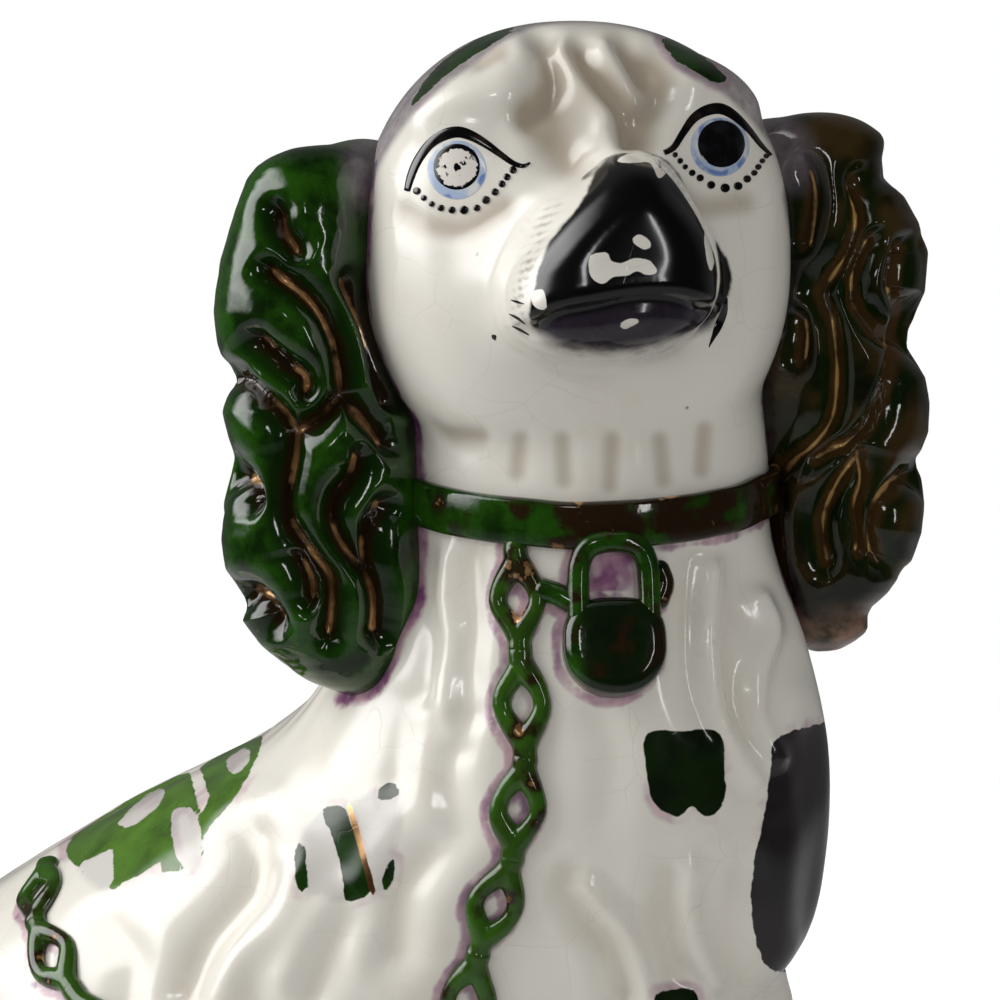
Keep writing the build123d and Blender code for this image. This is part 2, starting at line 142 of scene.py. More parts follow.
# Head frame: right across the face, up the brow, out of the face
head_centre = np.array([51.0, -4.0, 208.3])
head_turn = radians(30)
head_pitch = radians(8)
ear_roll = radians(4)
level_out = np.array([sin(head_turn), -cos(head_turn), 0.0])
level_right = np.array([cos(head_turn), sin(head_turn), 0.0])
head_out = level_out * cos(head_pitch) + up * sin(head_pitch)
head_right = level_right
head_up = np.cross(head_out, head_right)
ear_right = level_right * cos(ear_roll) + up * sin(ear_roll)
ear_up = np.cross(level_out, ear_right)

# Head, as rows of depth, half width, half height, drop, narrowing upwards, lean of the top and squareness
head_rows = [
    (-37.6, 5.0, 5.4, 0.0, 0.0, 0.0, 2.0),
    (-34.2, 16.0, 17.2, 0.0, 0.0, 0.0, 2.0),
    (-22.8, 30.4, 32.8, 0.0, 0.0, 0.0, 2.1),
    (-4.6, 38.0, 41.0, 0.0, 0.0, 0.0, 2.2),
    (11.3, 37.2, 39.8, 0.0, 0.0, 0.0, 2.3),
    (21.6, 31.5, 34.8, 0.0, 0.0, 0.0, 2.3),
    (27.0, 25.0, 25.4, 0.5, 0.12, 1.0, 2.1),
    (32.4, 19.0, 19.6, 1.0, 0.32, 2.5, 2.0),
    (43.2, 16.6, 17.3, 1.5, 0.45, 3.0, 2.0),
    (50.0, 13.6, 14.2, 1.5, 0.45, 3.0, 2.0),
    (54.0, 8.2, 8.8, 1.5, 0.40, 2.0, 2.0),
]
# Neck inside the collar, as rises over the joint and insets
neck_rows = [(-3.0, 0.2), (8.0, 0.4), (25.0, 2.4)]
throat_height = 187.0
cheek_depth = 26.0
muzzle_start = 20.0
ear_fringe_top = 226.0
mouth_depth = 1.7
lip_height = 0.8
eye_spread = 22.5
eye_rise = 17.0
eye_radius = 10.0
eye_relief = 1.6

# Ears, as rows of share down, half width, half depth and shift outwards
ear_spread = 47.0
ear_tops = {-1: 23.5, 1: 21.8}
ear_foot = -77.0
ear_rows = [
    (0.003, 4.0, 4.0, -2.0),
    (0.03, 9.2, 8.0, -1.2),
    (0.10, 12.4, 11.6, 1.8),
    (0.28, 15.0, 15.6, 2.6),
    (0.45, 16.8, 16.4, 0.0),
    (0.64, 16.5, 16.5, 0.0),
    (0.82, 15.4, 15.2, -1.8),
    (0.94, 10.6, 10.4, -3.4),
    (0.995, 3.0, 3.0, -5.0),
]
# Rounded roots that join the ears to the head, by side: across, rise, and sizes
ear_roots = {-1: (36.5, 12.8, (12.5, 10.8, 10.0)), 1: (38.5, 10.4, (11.0, 10.6, 10.0))}
root_setback = 5.0
root_above = 5.0
lock_reach = 6.0
lock_depth = 5.2
lock_round = 2.1
# Plain waves behind the ears, which the photograph does not show
ear_waves = 7
wave_sway = 0.38
wave_length = 6.8
wave_radius = 14.0
# Outer edges of the ears in the photograph, the band they are fitted in and the least width of a band
edge_band = 4
least_span = 20
right_ear_edge = [
    (300, 150), (272, 156), (255, 166), (245, 180), (238, 200), (228, 230), (219, 260), (214, 290),
    (213, 312), (217, 345), (223, 368), (220, 390), (219, 412), (226, 438), (232, 457), (228, 478),
    (222, 505), (220, 540), (224, 570), (235, 600), (238, 622), (255, 645), (285, 666), (302, 684),
    (325, 697),
]
left_ear_edge = [
    (850, 112), (868, 119), (878, 132), (882, 150), (885, 178), (905, 195), (922, 222), (929, 252),
    (926, 292), (917, 312), (911, 330), (917, 352), (927, 376), (930, 404), (928, 432), (919, 458),
    (922, 478), (925, 502), (923, 532), (914, 562), (890, 592), (862, 614), (845, 636), (825, 655),
]

# Grooves between the locks of the ears, as they lie in the photograph, in pixels
# A groove is shallow over its taper at an end that lies further than the gap from all others.
groove_taper = 22.0
open_gap = 16.0
right_ear_grooves = [
    [(272, 190), (276, 222), (288, 239), (311, 259)],
    [(249, 257), (278, 278), (306, 294), (327, 314), (341, 341), (346, 366), (347, 394)],
    [(238, 328), (258, 349), (282, 367), (302, 380), (303, 394), (294, 408)],
    [(212, 366), (224, 374), (245, 394), (272, 414), (290, 436)],
    [(290, 436), (319, 421), (347, 396)],
    [(347, 396), (369, 417), (388, 434), (408, 458)],
    [(290, 436), (284, 471), (280, 501), (284, 525), (297, 543), (314, 564), (330, 582), (332, 601),
     (330, 629), (321, 658)],
    [(350, 447), (364, 460), (353, 484), (338, 501), (334, 521), (343, 543), (358, 560), (373, 572)],
    [(404, 492), (384, 517), (375, 536), (373, 566), (382, 593), (384, 622), (378, 656)],
    [(294, 560), (308, 588), (308, 622)],
    [(212, 466), (232, 474), (246, 492), (246, 522)],
    [(216, 606), (240, 598), (260, 610), (282, 644)],
    [(348, 262), (363, 293), (377, 322), (385, 352), (394, 388), (408, 418)],
]
left_ear_grooves = [
    [(860, 158), (863, 210), (848, 250), (818, 284), (817, 297), (831, 319), (838, 350), (838, 384),
     (831, 421), (808, 446), (778, 464), (760, 480)],
    [(888, 222), (868, 248), (856, 272), (855, 292), (862, 310), (880, 328), (906, 342)],
    [(920, 228), (907, 262), (905, 290), (912, 316), (906, 342)],
    [(906, 342), (898, 380), (880, 421), (862, 440), (848, 449)],
    [(848, 449), (831, 452), (810, 462)],
    [(932, 462), (912, 480), (890, 502), (880, 530), (884, 556), (888, 582)],
    [(862, 462), (838, 486), (818, 518), (820, 552), (833, 582)],
    [(764, 492), (762, 532), (768, 584), (782, 618)],
    [(866, 457), (870, 482), (860, 510), (866, 545), (858, 575)],
    [(800, 150), (806, 190), (798, 232), (790, 262)],
    [(786, 300), (796, 340), (790, 380)],
]

# Painted and moulded lines of the face, as they lie in the photograph
snout_outline = [
    (623, 153), (606, 159), (595, 172), (587, 191), (573, 214), (552, 238), (540, 266), (532, 298),
    (530, 322), (546, 338), (580, 348), (622, 350), (664, 341), (702, 331), (720, 312), (731, 287),
    (729, 263), (717, 244), (701, 220), (687, 192), (675, 170), (654, 154),
]
chip_outlines = [
    [(589, 258), (598, 253), (608, 253), (611, 261), (622, 263), (633, 258), (650, 261), (657, 272),
     (646, 275), (637, 271), (628, 275), (613, 277), (602, 284), (591, 276)],
    [(633, 239), (639, 234), (650, 241), (650, 248), (643, 249), (634, 243)],
    [(531, 293), (543, 290), (547, 306), (545, 310), (535, 307)],
    [(620, 324), (628, 319), (639, 319), (637, 324), (624, 329)],
    [(617, 161), (628, 154), (646, 153), (654, 158), (670, 167), (665, 174), (658, 178), (650, 163),
     (632, 163)],
    [(704, 230), (711, 234), (715, 258), (711, 271), (706, 256)],
]
mouth_line = [(531, 330), (556, 318), (591, 312), (620, 305), (650, 301), (685, 305), (714, 320)]
lip_line = [(532, 318), (560, 302), (600, 291), (640, 287), (685, 290), (722, 303)]
chin_middle = (612.0, 344.0)
# Painted shade over the brow, a tan patch, by its middle and spread
brow_shade_middle = (592.0, 96.0)
brow_shade_spread = (58.0, 50.0)
# Furrows and ridges of the brow and neck, each with its height and reach in millimetres
furrow_lines = [
    ([(542, 43), (548, 61), (551, 79), (543, 100), (528, 116)], 2.8, 2.8),
    ([(578, 52), (590, 73), (605, 91), (620, 109), (628, 132)], 2.4, 2.1),
    ([(623, 46), (635, 64), (643, 80)], 2.0, 2.2),
    ([(653, 66), (660, 90), (648, 118), (646, 138)], 2.2, 3.4),
    ([(540, 124), (550, 138), (562, 156)], 2.2, 4.6),
    ([(404, 214), (430, 226), (470, 228), (505, 208)], 0.7, 3.0),
    ([(676, 190), (705, 206), (745, 202)], 0.6, 3.0),
    ([(480, 66), (500, 58)], 0.8, 2.4),
    ([(418, 427), (446, 436), (478, 438)], 0.6, 2.4),
    ([(520, 440), (516, 472)], 0.3, 2.2),
    ([(562, 440), (564, 480)], 0.3, 2.2),
    ([(612, 440), (610, 485)], 0.3, 2.2),
    ([(660, 440), (664, 480)], 0.3, 2.2),
    ([(705, 430), (702, 470)], 0.3, 2.2),
]
ridge_lines = [
    ([(430, 120), (455, 104), (484, 96), (512, 100), (530, 118)], 2.8, 4.4),
    ([(664, 80), (688, 82), (718, 88), (746, 102)], 2.6, 4.4),
    ([(505, 58), (522, 52)], 1.4, 3.4),
    ([(562, 50), (575, 73), (593, 97), (609, 121)], 2.1, 2.4),
    ([(605, 52), (621, 80), (634, 102)], 1.7, 2.2),
    ([(520, 172), (510, 196), (500, 230), (490, 268)], 0.7, 5.0),
]
# Edge of the white face, the green patches beside it, and those behind as centres and reach on the head
face_outline = [
    (366, 240), (368, 206), (376, 178), (388, 154), (404, 130), (422, 108), (450, 84), (482, 61),
    (508, 41), (540, 28), (590, 24), (640, 32), (660, 46), (671, 65), (688, 77), (712, 88), (734, 106),
    (756, 130), (774, 152), (785, 182), (790, 240), (900, 600), (250, 600),
]
crown_blobs = [(-24, 26, -22, 15), (25, 26, -22, 14), (4, 8, -36, 15)]
crown_outlines = [
    [(411, 107), (422, 84), (444, 60), (474, 40), (505, 28), (514, 28), (502, 38), (470, 58), (440, 80)],
    [(662, 38), (680, 42), (702, 55), (726, 78), (714, 82), (694, 71), (678, 62), (668, 52)],
]
# Thin strokes at the corners of the mouth, and a speck on the cheek
mouth_marks = [
    [(727, 298, 1.0), (724, 312, 4.0), (718, 327, 4.4), (713, 338, 2.4), (709, 347, 0.6)],
    [(511, 300, 0.6), (517, 302, 1.6), (524, 304, 0.6)],
    [(509, 314, 0.6), (517, 318, 1.8), (525, 324, 0.6)],
    [(512, 326, 0.6), (520, 330, 1.8), (529, 335, 0.6)],
    [(492, 335, 1.0), (494, 337, 3.0), (495, 340, 1.0)],
]
# Short brush ticks along the left of the muzzle
tick_line = [(556, 200), (541, 228), (529, 260), (520, 292), (518, 326)]
tick_spacing = 9.0
# Eyes in pixels, each line with half widths and each round with its radius, and heights in millimetres
lid_height = 0.25
dot_height = 0.35
iris_height = 0.12
pupil_height = 0.3
mark_height = 0.12
stroke_sink = 0.1
eyes = {
    "right_eye": {
        "lid": [(407, 191, 3.6), (411, 176, 4.6), (418, 160, 5.0), (430, 144, 5.4), (444, 135, 6.2),
                (458, 132, 6.2), (472, 136, 5.6), (486, 144, 4.6), (500, 154, 3.6), (513, 163, 3.0),
                (523, 166, 2.4), (530, 163, 1.2)],
        "dots": [(417, 191, 3.8), (424, 198, 3.0), (432, 204, 3.0), (441, 208, 3.5), (452, 210, 3.7),
                 (464, 210, 4.4), (477, 208, 3.5), (486, 200, 4.2), (495, 192, 3.8), (502, 184, 3.6),
                 (507, 177, 3.6), (513, 170, 3.8)],
        "iris": (457, 170, 30.5),
        "pupil": (457, 167, 24.0),
    },
    "left_eye": {
        "lid": [(664, 153, 3.0), (674, 147, 3.6), (683, 133, 4.0), (694, 118, 5.0), (708, 110, 6.0),
                (722, 109, 6.0), (736, 117, 5.0), (750, 131, 3.6), (761, 145, 2.8), (771, 155, 1.6)],
        "dots": [(675, 155, 2.6), (680, 161, 2.8), (685, 167, 2.6), (692, 173, 3.2), (700, 178, 3.6),
                 (711, 185, 4.0), (725, 188, 4.6), (738, 186, 4.2), (747, 179, 3.8), (754, 173, 3.0),
                 (758, 167, 3.0), (762, 161, 2.6), (766, 156, 2.6)],
        "iris": (720, 147, 30.5),
        "pupil": (721, 144, 24.5),
    },
}

# Painted spots of the coat that the photograph shows, each with its darkness
# A darkness above 1.1 also lays on a mauve painted reflection
spot_outlines = [
    ([(645, 737), (660, 731), (690, 731), (714, 730), (724, 744), (724, 772), (726, 795), (715, 814),
      (704, 816), (692, 806), (680, 815), (664, 812), (652, 797), (646, 770)], 0.9),
    ([(773, 743), (790, 732), (812, 726), (840, 722), (850, 760), (850, 900), (826, 950), (800, 970),
      (778, 971), (764, 962), (753, 928), (752, 880), (763, 822), (771, 768)], 1.6),
    ([(654, 1000), (664, 991), (690, 989), (698, 1000), (705, 1040), (680, 1060), (645, 1050)], 0.9),
    ([(66, 846), (108, 806), (156, 774), (184, 764), (199, 809), (203, 836), (201, 859), (186, 869),
      (162, 872), (162, 861), (139, 874), (121, 882), (114, 889), (96, 882), (81, 871)], -0.5),
    ([(196, 748), (226, 728), (258, 712), (262, 737), (255, 762), (242, 785), (229, 805), (212, 823),
      (203, 834), (199, 819), (209, 796)], -0.5),
    ([(322, 810), (343, 807), (352, 828), (362, 860), (372, 890), (345, 901), (343, 876), (333, 840)], 0.4),
    ([(297, 845), (304, 842), (306, 862), (308, 890), (299, 890), (295, 868)], 0.4),
    ([(378, 792), (386, 784), (396, 784), (398, 794), (388, 800), (380, 800)], 0.4),
    ([(388, 862), (395, 858), (394, 878), (386, 891), (382, 884)], 0.4),
]
# Spots that it does not show, as centres and reach
hidden_spots = [
    (20, 42, 110, 13), (60, 40, 85, 11), (-20, 48, 62, 15), (-70, 36, 50, 13), (-98, 10, 40, 12),
    (40, 38, 140, 10), (-60, -44, 40, 13), (84, 30, 50, 9), (-38, 30, 92, 11),
]
# Pale grey wash with a copper stroke inside the broken flank spot
wash_outline = [
    (300, 840), (322, 810), (350, 804), (380, 786), (398, 788), (402, 820), (396, 856), (388, 890),
    (360, 892), (345, 902), (322, 896), (300, 890),
]
copper_stroke = [(349, 806), (358, 836), (365, 862), (373, 892)]
# Places inside the spots of the back where the green has worn to a grey wash
worn_outlines = [
    [(172, 814), (190, 808), (200, 826), (200, 858), (186, 869), (174, 850)],
    [(80, 866), (98, 856), (112, 850), (113, 880), (100, 888)],
    [(118, 822), (150, 792), (164, 790), (158, 806), (132, 826)],
    [(226, 760), (246, 748), (250, 758), (236, 776)],
]

# Collar, as rises over the joint and outsets from the neck
collar_profile = [
    (-4.0, -1.5), (-4.2, 0.8), (-3.9, 1.5), (-3.3, 1.75), (0.0, 1.8), (3.3, 1.75), (3.9, 1.5), (4.2, 0.8),
    (4.0, -1.5),
]
# Padlock, with its profile as heights and insets, and its bars as places across, up and out, with radii
lock_half_width = 9.1
lock_half_height = 8.7
lock_drop = 2.3
lock_profile = [(-4.0, 0.0), (1.0, 0.0), (2.3, 0.35), (3.2, 1.2), (3.7, 2.4), (3.9, 4.6)]
lock_bars = {
    "padlock_shackle": ([
        (-6.2, 3.0, 1.4), (-6.2, 8.6, 1.4), (-5.8, 12.4, 1.4), (-4.0, 14.9, 1.4), (0.0, 15.7, 1.4),
        (4.0, 14.9, 1.4), (5.8, 12.4, 1.4), (6.2, 8.6, 1.4), (6.2, 3.0, 1.4),
    ], 2.05),
    "padlock_lug": ([(8.0, 6.0, 0.6), (8.9, 8.6, 0.9), (8.2, 11.0, 0.6)], 1.9),
    "padlock_tie": ([(-11.9, 8.0, 0.3), (-10.0, 7.2, 0.7), (-7.4, 5.6, 0.8)], 2.1),
}
# Opening of the padlock's shackle, and the shift of the mauve fringe beside raised parts
shackle_outline = [(588, 548), (634, 548), (637, 592), (586, 592)]
fringe_aside = 0.9
fringe_below = 0.6
# Chain links, which face away from a line inside the body, bow out and are pinched near the ends
link_side = (30.0, 20.0)
link_steps = 24
link_bow = 3.5
link_pinch = 0.85
link_radius = 1.65
link_ball = (2.2, 2.2, 1.9)
# Joints of the chain links that the photograph shows, by link
link_joints = {
    1: [(516, 548), (521, 650)],
    2: [(521, 650), (526, 757)],
    3: [(526, 757), (513, 857)],
    4: [(513, 857), (479, 951)],
    5: [(479, 951)],
    9: [(74, 990)],
    10: [(38, 925), (74, 990)],
    11: [(50, 868), (38, 925)],
}
# Folds of the coat that the photograph shows, each with its depth and reach in millimetres
coat_folds = [
    ([(758, 599), (771, 631), (759, 672), (756, 716), (773, 757)], -1.5, 1.6),
    ([(711, 569), (708, 628), (711, 681), (720, 716), (737, 745), (754, 778)], -1.5, 1.6),
    ([(735, 560), (738, 610), (732, 660), (738, 715), (752, 740)], 1.0, 2.4),
    ([(690, 560), (686, 620), (690, 680), (704, 716)], 0.9, 2.6),
    ([(687, 871), (686, 907), (696, 951), (712, 980)], -1.4, 1.9),
    ([(668, 880), (664, 920), (676, 970)], 1.0, 2.8),
    ([(582, 886), (605, 910), (626, 933), (641, 968), (646, 1010)], -1.7, 2.0),
    ([(566, 880), (588, 920), (610, 950), (622, 990)], 1.2, 2.6),
    ([(740, 880), (728, 930), (736, 985)], 0.9, 3.0),
    ([(792, 700), (784, 770), (796, 830), (786, 890), (794, 960)], -0.7, 3.2),
    ([(812, 740), (806, 800), (814, 850), (806, 920)], 0.7, 3.4),
    ([(448, 556), (444, 599), (450, 640), (444, 690), (452, 730)], -0.9, 1.8),
    ([(432, 556), (428, 599), (434, 640), (428, 690)], 0.7, 2.2),
    ([(472, 556), (475, 613), (470, 663), (474, 710)], 0.8, 2.2),
    ([(458, 730), (448, 780), (458, 830)], 0.9, 2.6),
    ([(252, 836), (246, 890), (208, 943), (190, 992)], 2.0, 3.4),
    ([(430, 855), (402, 894), (394, 950)], 1.7, 3.2),
    ([(298, 880), (279, 919), (239, 959), (212, 1000)], -1.3, 2.8),
    ([(328, 905), (305, 939), (282, 975)], -1.2, 2.8),
    ([(345, 915), (326, 955), (312, 995)], 1.1, 2.8),
    ([(408, 705), (400, 746), (397, 776)], 0.8, 2.6),
    ([(600, 720), (612, 760), (606, 815)], 0.6, 3.0),
    ([(110, 930), (136, 962), (130, 1000)], 1.0, 3.2),
]

# Colours of the glazes, the clay and the stage
cream = (0.74, 0.71, 0.64, 1)
cream_warm = (0.66, 0.58, 0.46, 1)
craze_brown = (0.42, 0.34, 0.24, 1)
pit_brown = (0.05, 0.045, 0.03, 1)
lustre_purple = (0.20, 0.07, 0.17, 1)
lustre_pink = (0.52, 0.32, 0.38, 1)
groove_brown = (0.016, 0.008, 0.003, 1)
# Near-black and brown-black, mottled, laid over the whole shaded ear: painted shade
ear_shade_brown = (0.040, 0.022, 0.007, 1)
ear_shade_black = (0.0035, 0.003, 0.0015, 1)
# Near-black laid over the padlock away from its lit left edge: painted shade
padlock_shade_black = (0.003, 0.006, 0.002, 1)
fresh_green = (0.085, 0.19, 0.022, 1)
# Tan of glaze pooled in the head's furrows, also painted shade over the brow
tan_pool_and_brow_shade = (0.30, 0.225, 0.14, 1)
# Gold lustre on the shaded ear, brightened as a painted glint
gold_lustre_glint = (0.95, 0.60, 0.22, 1)
groove_umber = (0.055, 0.029, 0.009, 1)
black_enamel = (0.003, 0.0025, 0.003, 1)
lavender = (0.17, 0.14, 0.165, 1)
lustre_tan = (0.30, 0.17, 0.12, 1)
spot_black = (0.003, 0.006, 0.002, 1)
spot_reflection_mauve = (0.040, 0.028, 0.036, 1)
wash_grey = (0.46, 0.44, 0.43, 1)
lip_mauve = (0.030, 0.022, 0.034, 1)
tick_brown = (0.16, 0.12, 0.10, 1)
green_dark = (0.003, 0.012, 0.001, 1)
green_light = (0.014, 0.062, 0.003, 1)
copper_dark = (0.16, 0.070, 0.020, 1)
copper_light = (0.78, 0.46, 0.20, 1)
line_umber = (0.02, 0.012, 0.010, 1)
pupil_blue = (0.01, 0.01, 0.014, 1)
iris_blue = (0.36, 0.44, 0.58, 1)
iris_grey = (0.62, 0.62, 0.60, 1)
iris_stroke = (0.07, 0.15, 0.42, 1)
flaked_cream = (0.66, 0.62, 0.57, 1)
clay_buff = (0.62, 0.55, 0.45, 1)
clay_dust = (0.42, 0.36, 0.28, 1)
white = (1, 1, 1, 1)
floor_grey = (0.86, 0.86, 0.86, 1)

# Stage, in metres: the floor fades out between two distances from its middle
floor_half = 3.0
floor_middle = (0.0, 0.1, 0.0)
floor_fade = (0.55, 0.25)
lamp_target = (0.05, 0.0, 0.19)
# Strength of the white world on surfaces, and in reflections of what lies in front and behind
sky_light = 0.38
mirrored_front = 0.015
mirrored_behind = 0.09


def mesh_array(mesh, field):
    """A vertex field of a mesh as rows of three numbers."""
    values = np.empty(len(mesh.vertices) * 3)
    mesh.vertices.foreach_get(field, values)
    return values.reshape(-1, 3)


def set_points(mesh, points):
    """Moves the vertices of a mesh."""
    mesh.vertices.foreach_set("co", np.ascontiguousarray(points, dtype=np.float64).ravel())
    mesh.update()


def set_mark(mesh, name, values):
    """Keeps one number per vertex, or the same for all, for the materials to read."""
    layer = mesh.attributes.new(name, "FLOAT", "POINT")
    values = np.zeros(len(mesh.vertices)) + values
    layer.data.foreach_set("value", np.asarray(values, dtype=np.float32))


def unit(vector):
    """A direction of length one."""
    return vector / np.linalg.norm(vector)


def photo_pixels(points):
    """Where points of the figure lie in the photograph."""
    offset = points - view_point
    depth = offset @ view_forward
    across = photo_middle + photo_scale * (offset @ view_right) / depth
    down = photo_middle - photo_scale * (offset @ view_up) / depth
    return np.stack([across, down], axis=1)


def photo_ray(across, down):
    """The direction from the photographer through a pixel."""
    aside = view_right * ((across - photo_middle) / photo_scale)
    return unit(view_forward + aside - view_up * ((down - photo_middle) / photo_scale))


def camera_facing(points, normals):
    """How squarely a surface faces the photographer."""
    sight = view_point - points
    return (sight * normals).sum(axis=1) / np.linalg.norm(sight, axis=1)


def ease(values, low, high):
    """Smooth step from 0 at low to 1 at high."""
    share = np.clip((values - low) / (high - low), 0.0, 1.0)
    return share * share * (3 - 2 * share)


def hill(distance, reach):
    """A bell that is 1 at no distance and fades over its reach."""
    return np.exp(-(distance / reach) ** 2)


def eased_rows(rows, steps):
    """Rows drawn smoothly between the given ones."""
    rows = np.array(rows, float)
    slopes = np.gradient(rows, axis=0)
    result = []
    for row in range(len(rows) - 1):
        for step in range(steps):
            t = step / steps
            start = (2 * t ** 3 - 3 * t ** 2 + 1) * rows[row] + (t ** 3 - 2 * t ** 2 + t) * slopes[row]
            end = (3 * t ** 2 - 2 * t ** 3) * rows[row + 1] + (t ** 3 - t ** 2) * slopes[row + 1]
            result.append(start + end)
    result.append(rows[-1])
    return np.array(result)


def run_distance(points, start, end):
    """Distance from each point to a straight run, and the share of the run that is nearest."""
    run = end - start
    share = np.clip((points - start) @ run / max(run @ run, 1e-9), 0.0, 1.0)
    away = points - start - share[:, None] * run
    return np.sqrt((away * away).sum(axis=1)), share


def line_distance(points, line):
    """Distance from each point to a drawn line."""
    line = eased_rows(line, line_steps)
    return np.min([run_distance(points, *ends)[0] for ends in zip(line, line[1:])], axis=0)


def outline_distance(points, corners):
    """Distance from each point to a closed outline, below zero inside it."""
    nearest = np.full(len(points), np.inf)
    inside = np.zeros(len(points), bool)
    for start, end in zip(corners, np.roll(corners, -1, axis=0)):
        nearest = np.minimum(nearest, run_distance(points, start, end)[0])
        run = end - start
        if run[1]:
            crosses = (start[1] > points[:, 1]) != (end[1] > points[:, 1])
            crossing = start[0] + (points[:, 1] - start[1]) / run[1] * run[0]
            inside ^= crosses & (points[:, 0] < crossing)
    return np.where(inside, -nearest, nearest)


def drawn_distance(pixels, outline):
    """Distance in pixels to an outline drawn smoothly through its corners, below zero inside it."""
    corners = np.array(outline, float)
    wrapped = np.vstack([corners[-2:], corners, corners[:2]])
    smooth = eased_rows(wrapped, outline_steps)
    return outline_distance(pixels, smooth[2 * outline_steps:(2 + len(corners)) * outline_steps])


def nearest_distance(points, targets, reach):
    """Distance to the nearest of some targets, told up to twice the reach."""
    tree = KDTree(len(targets))
    for index, target in enumerate(targets):
        tree.insert(target, index)
    tree.balance()
    near = (points > targets.min(axis=0) - reach) & (points < targets.max(axis=0) + reach)
    result = np.full(len(points), 2.0 * reach)
    for index in np.nonzero(near.all(axis=1))[0]:
        result[index] = min(tree.find(points[index])[2], 2.0 * reach)
    return result


def blob_distance(points, blobs):
    """Distance to the nearest of some round blobs, below zero inside one."""
    return np.min([np.linalg.norm(points - blob[:3], axis=1) - blob[3] for blob in np.array(blobs)], axis=0)


def cloud(points, size, seed):
    """Soft noise of a given grain size at each point."""
    shift = Vector((seed * 7.3, seed * 3.1, seed * 5.7))
    return np.array([noise.noise(Vector(point) / size + shift) for point in points])


def ring(bm, centre, axes, sizes, segments, cap=False, fuller=0.0, narrow=0.0, lean=0.0, square=2.0):
    """One closed ring of a loft, which may be fuller behind, narrow or lean upwards, or be squarer."""
    made = bmesh.ops.create_circle(bm, cap_ends=cap, segments=segments, radius=1.0)
    for vert in made["verts"]:
        a = np.sign(vert.co.x) * abs(vert.co.x) ** (2 / square)
        b = np.sign(vert.co.y) * abs(vert.co.y) ** (2 / square)
        first = sizes[0] * a * (1 - narrow * b) + lean * b
        second = sizes[1] * b * (1 - fuller * a)
        vert.co = Vector(centre + axes[0] * first + axes[1] * second)
    return list({edge for vert in made["verts"] for edge in vert.link_edges})


def bridge(bm, rings, closed=False):
    """Skins a run of rings."""
    followers = rings[1:] + rings[:1] if closed else rings[1:]
    for first, second in zip(rings, followers):
        bmesh.ops.bridge_loops(bm, edges=first + second)
    bmesh.ops.recalc_face_normals(bm, faces=bm.faces)


def loft(bm, sections, segments=64):
    """Skins sections, each a centre, two axes, two sizes and bends, and closes both ends."""
    rings = []
    for index, (centre, axes, sizes, bends) in enumerate(sections):
        end = index in (0, len(sections) - 1)
        rings.append(ring(bm, centre, axes, sizes, segments, end, **bends))
    bridge(bm, rings)


def tube(bm, path, radii, facing, flat=1.0, segments=16):
    """A bar along a path, flattened towards the way it faces."""
    sections = []
    for step, (point, radius, out) in enumerate(zip(path, radii, facing)):
        along = unit(path[min(step + 1, len(path) - 1)] - path[max(step - 1, 0)])
        out = unit(out - along * (out @ along))
        sections.append((point, (np.cross(along, out), out), (radius, radius * flat), {}))
    loft(bm, sections, segments)


def ball(bm, centre, axes, sizes):
    """An ellipsoid laid along three axes."""
    made = bmesh.ops.create_uvsphere(bm, u_segments=48, v_segments=24, radius=1.0)
    for vert in made["verts"]:
        reaches = (axis * (size * share) for axis, size, share in zip(axes, sizes, vert.co))
        vert.co = Vector(sum(reaches, centre))


def plain_mesh(bm, name):
    """Turns a bmesh into a mesh."""
    mesh = bpy.data.meshes.new(name)
    bm.to_mesh(mesh)
    bm.free()
    return mesh


def remeshed(bm, name, skin):
    """Melts the shapes of a bmesh into one even skin, as slip smooths the joints."""
    rough = plain_mesh(bm, name)
    blank = bpy.data.objects.new(name + "_blank", rough)
    bpy.context.scene.collection.objects.link(blank)
    voxels = blank.modifiers.new("voxels", "REMESH")
    voxels.mode = "VOXEL"
    easing = blank.modifiers.new("easing", "SMOOTH")
    easing.factor = 0.5
    voxels.voxel_size, easing.iterations = skin
    graph = bpy.context.evaluated_depsgraph_get()
    mesh = bpy.data.meshes.new_from_object(blank.evaluated_get(graph))
    mesh.name = name
    bpy.data.objects.remove(blank)
    bpy.data.meshes.remove(rough)
    return mesh


def finish_piece(mesh, name, material, nodes):
    """Turns a mesh into a piece of the figure."""
    set_points(mesh, mesh_array(mesh, "co") * MM)
    mesh.shade_smooth()
    mesh.materials.clear()
    mesh.materials.append(material)
    piece = bpy.data.objects.new(name, mesh)
    bpy.context.scene.collection.objects.link(piece)
    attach(piece, "root")
    if nodes:
        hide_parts(*nodes)


def mesh_tree(mesh):
    """A search tree of a mesh's faces."""
    bm = bmesh.new()
    bm.from_mesh(mesh)
    tree = BVHTree.FromBMesh(bm)
    bm.free()
    return tree


def soften(mesh, points, mask, rounds):
    """Smooths the skin where a mask says so."""
    ends = np.empty(len(mesh.edges) * 2, dtype=np.int64)
    mesh.edges.foreach_get("vertices", ends)
    first, second = ends.reshape(-1, 2).T
    count = len(points)
    links = np.maximum(np.bincount(ends, minlength=count), 1)
    weight = (0.5 * mask * np.ones(count))[:, None]
    for _ in range(rounds):
        middle = np.empty_like(points)
        for axis in range(3):
            total = np.bincount(first, points[second, axis], count)
            total += np.bincount(second, points[first, axis], count)
            middle[:, axis] = total / links
        points = points + weight * (middle - points)
    return points


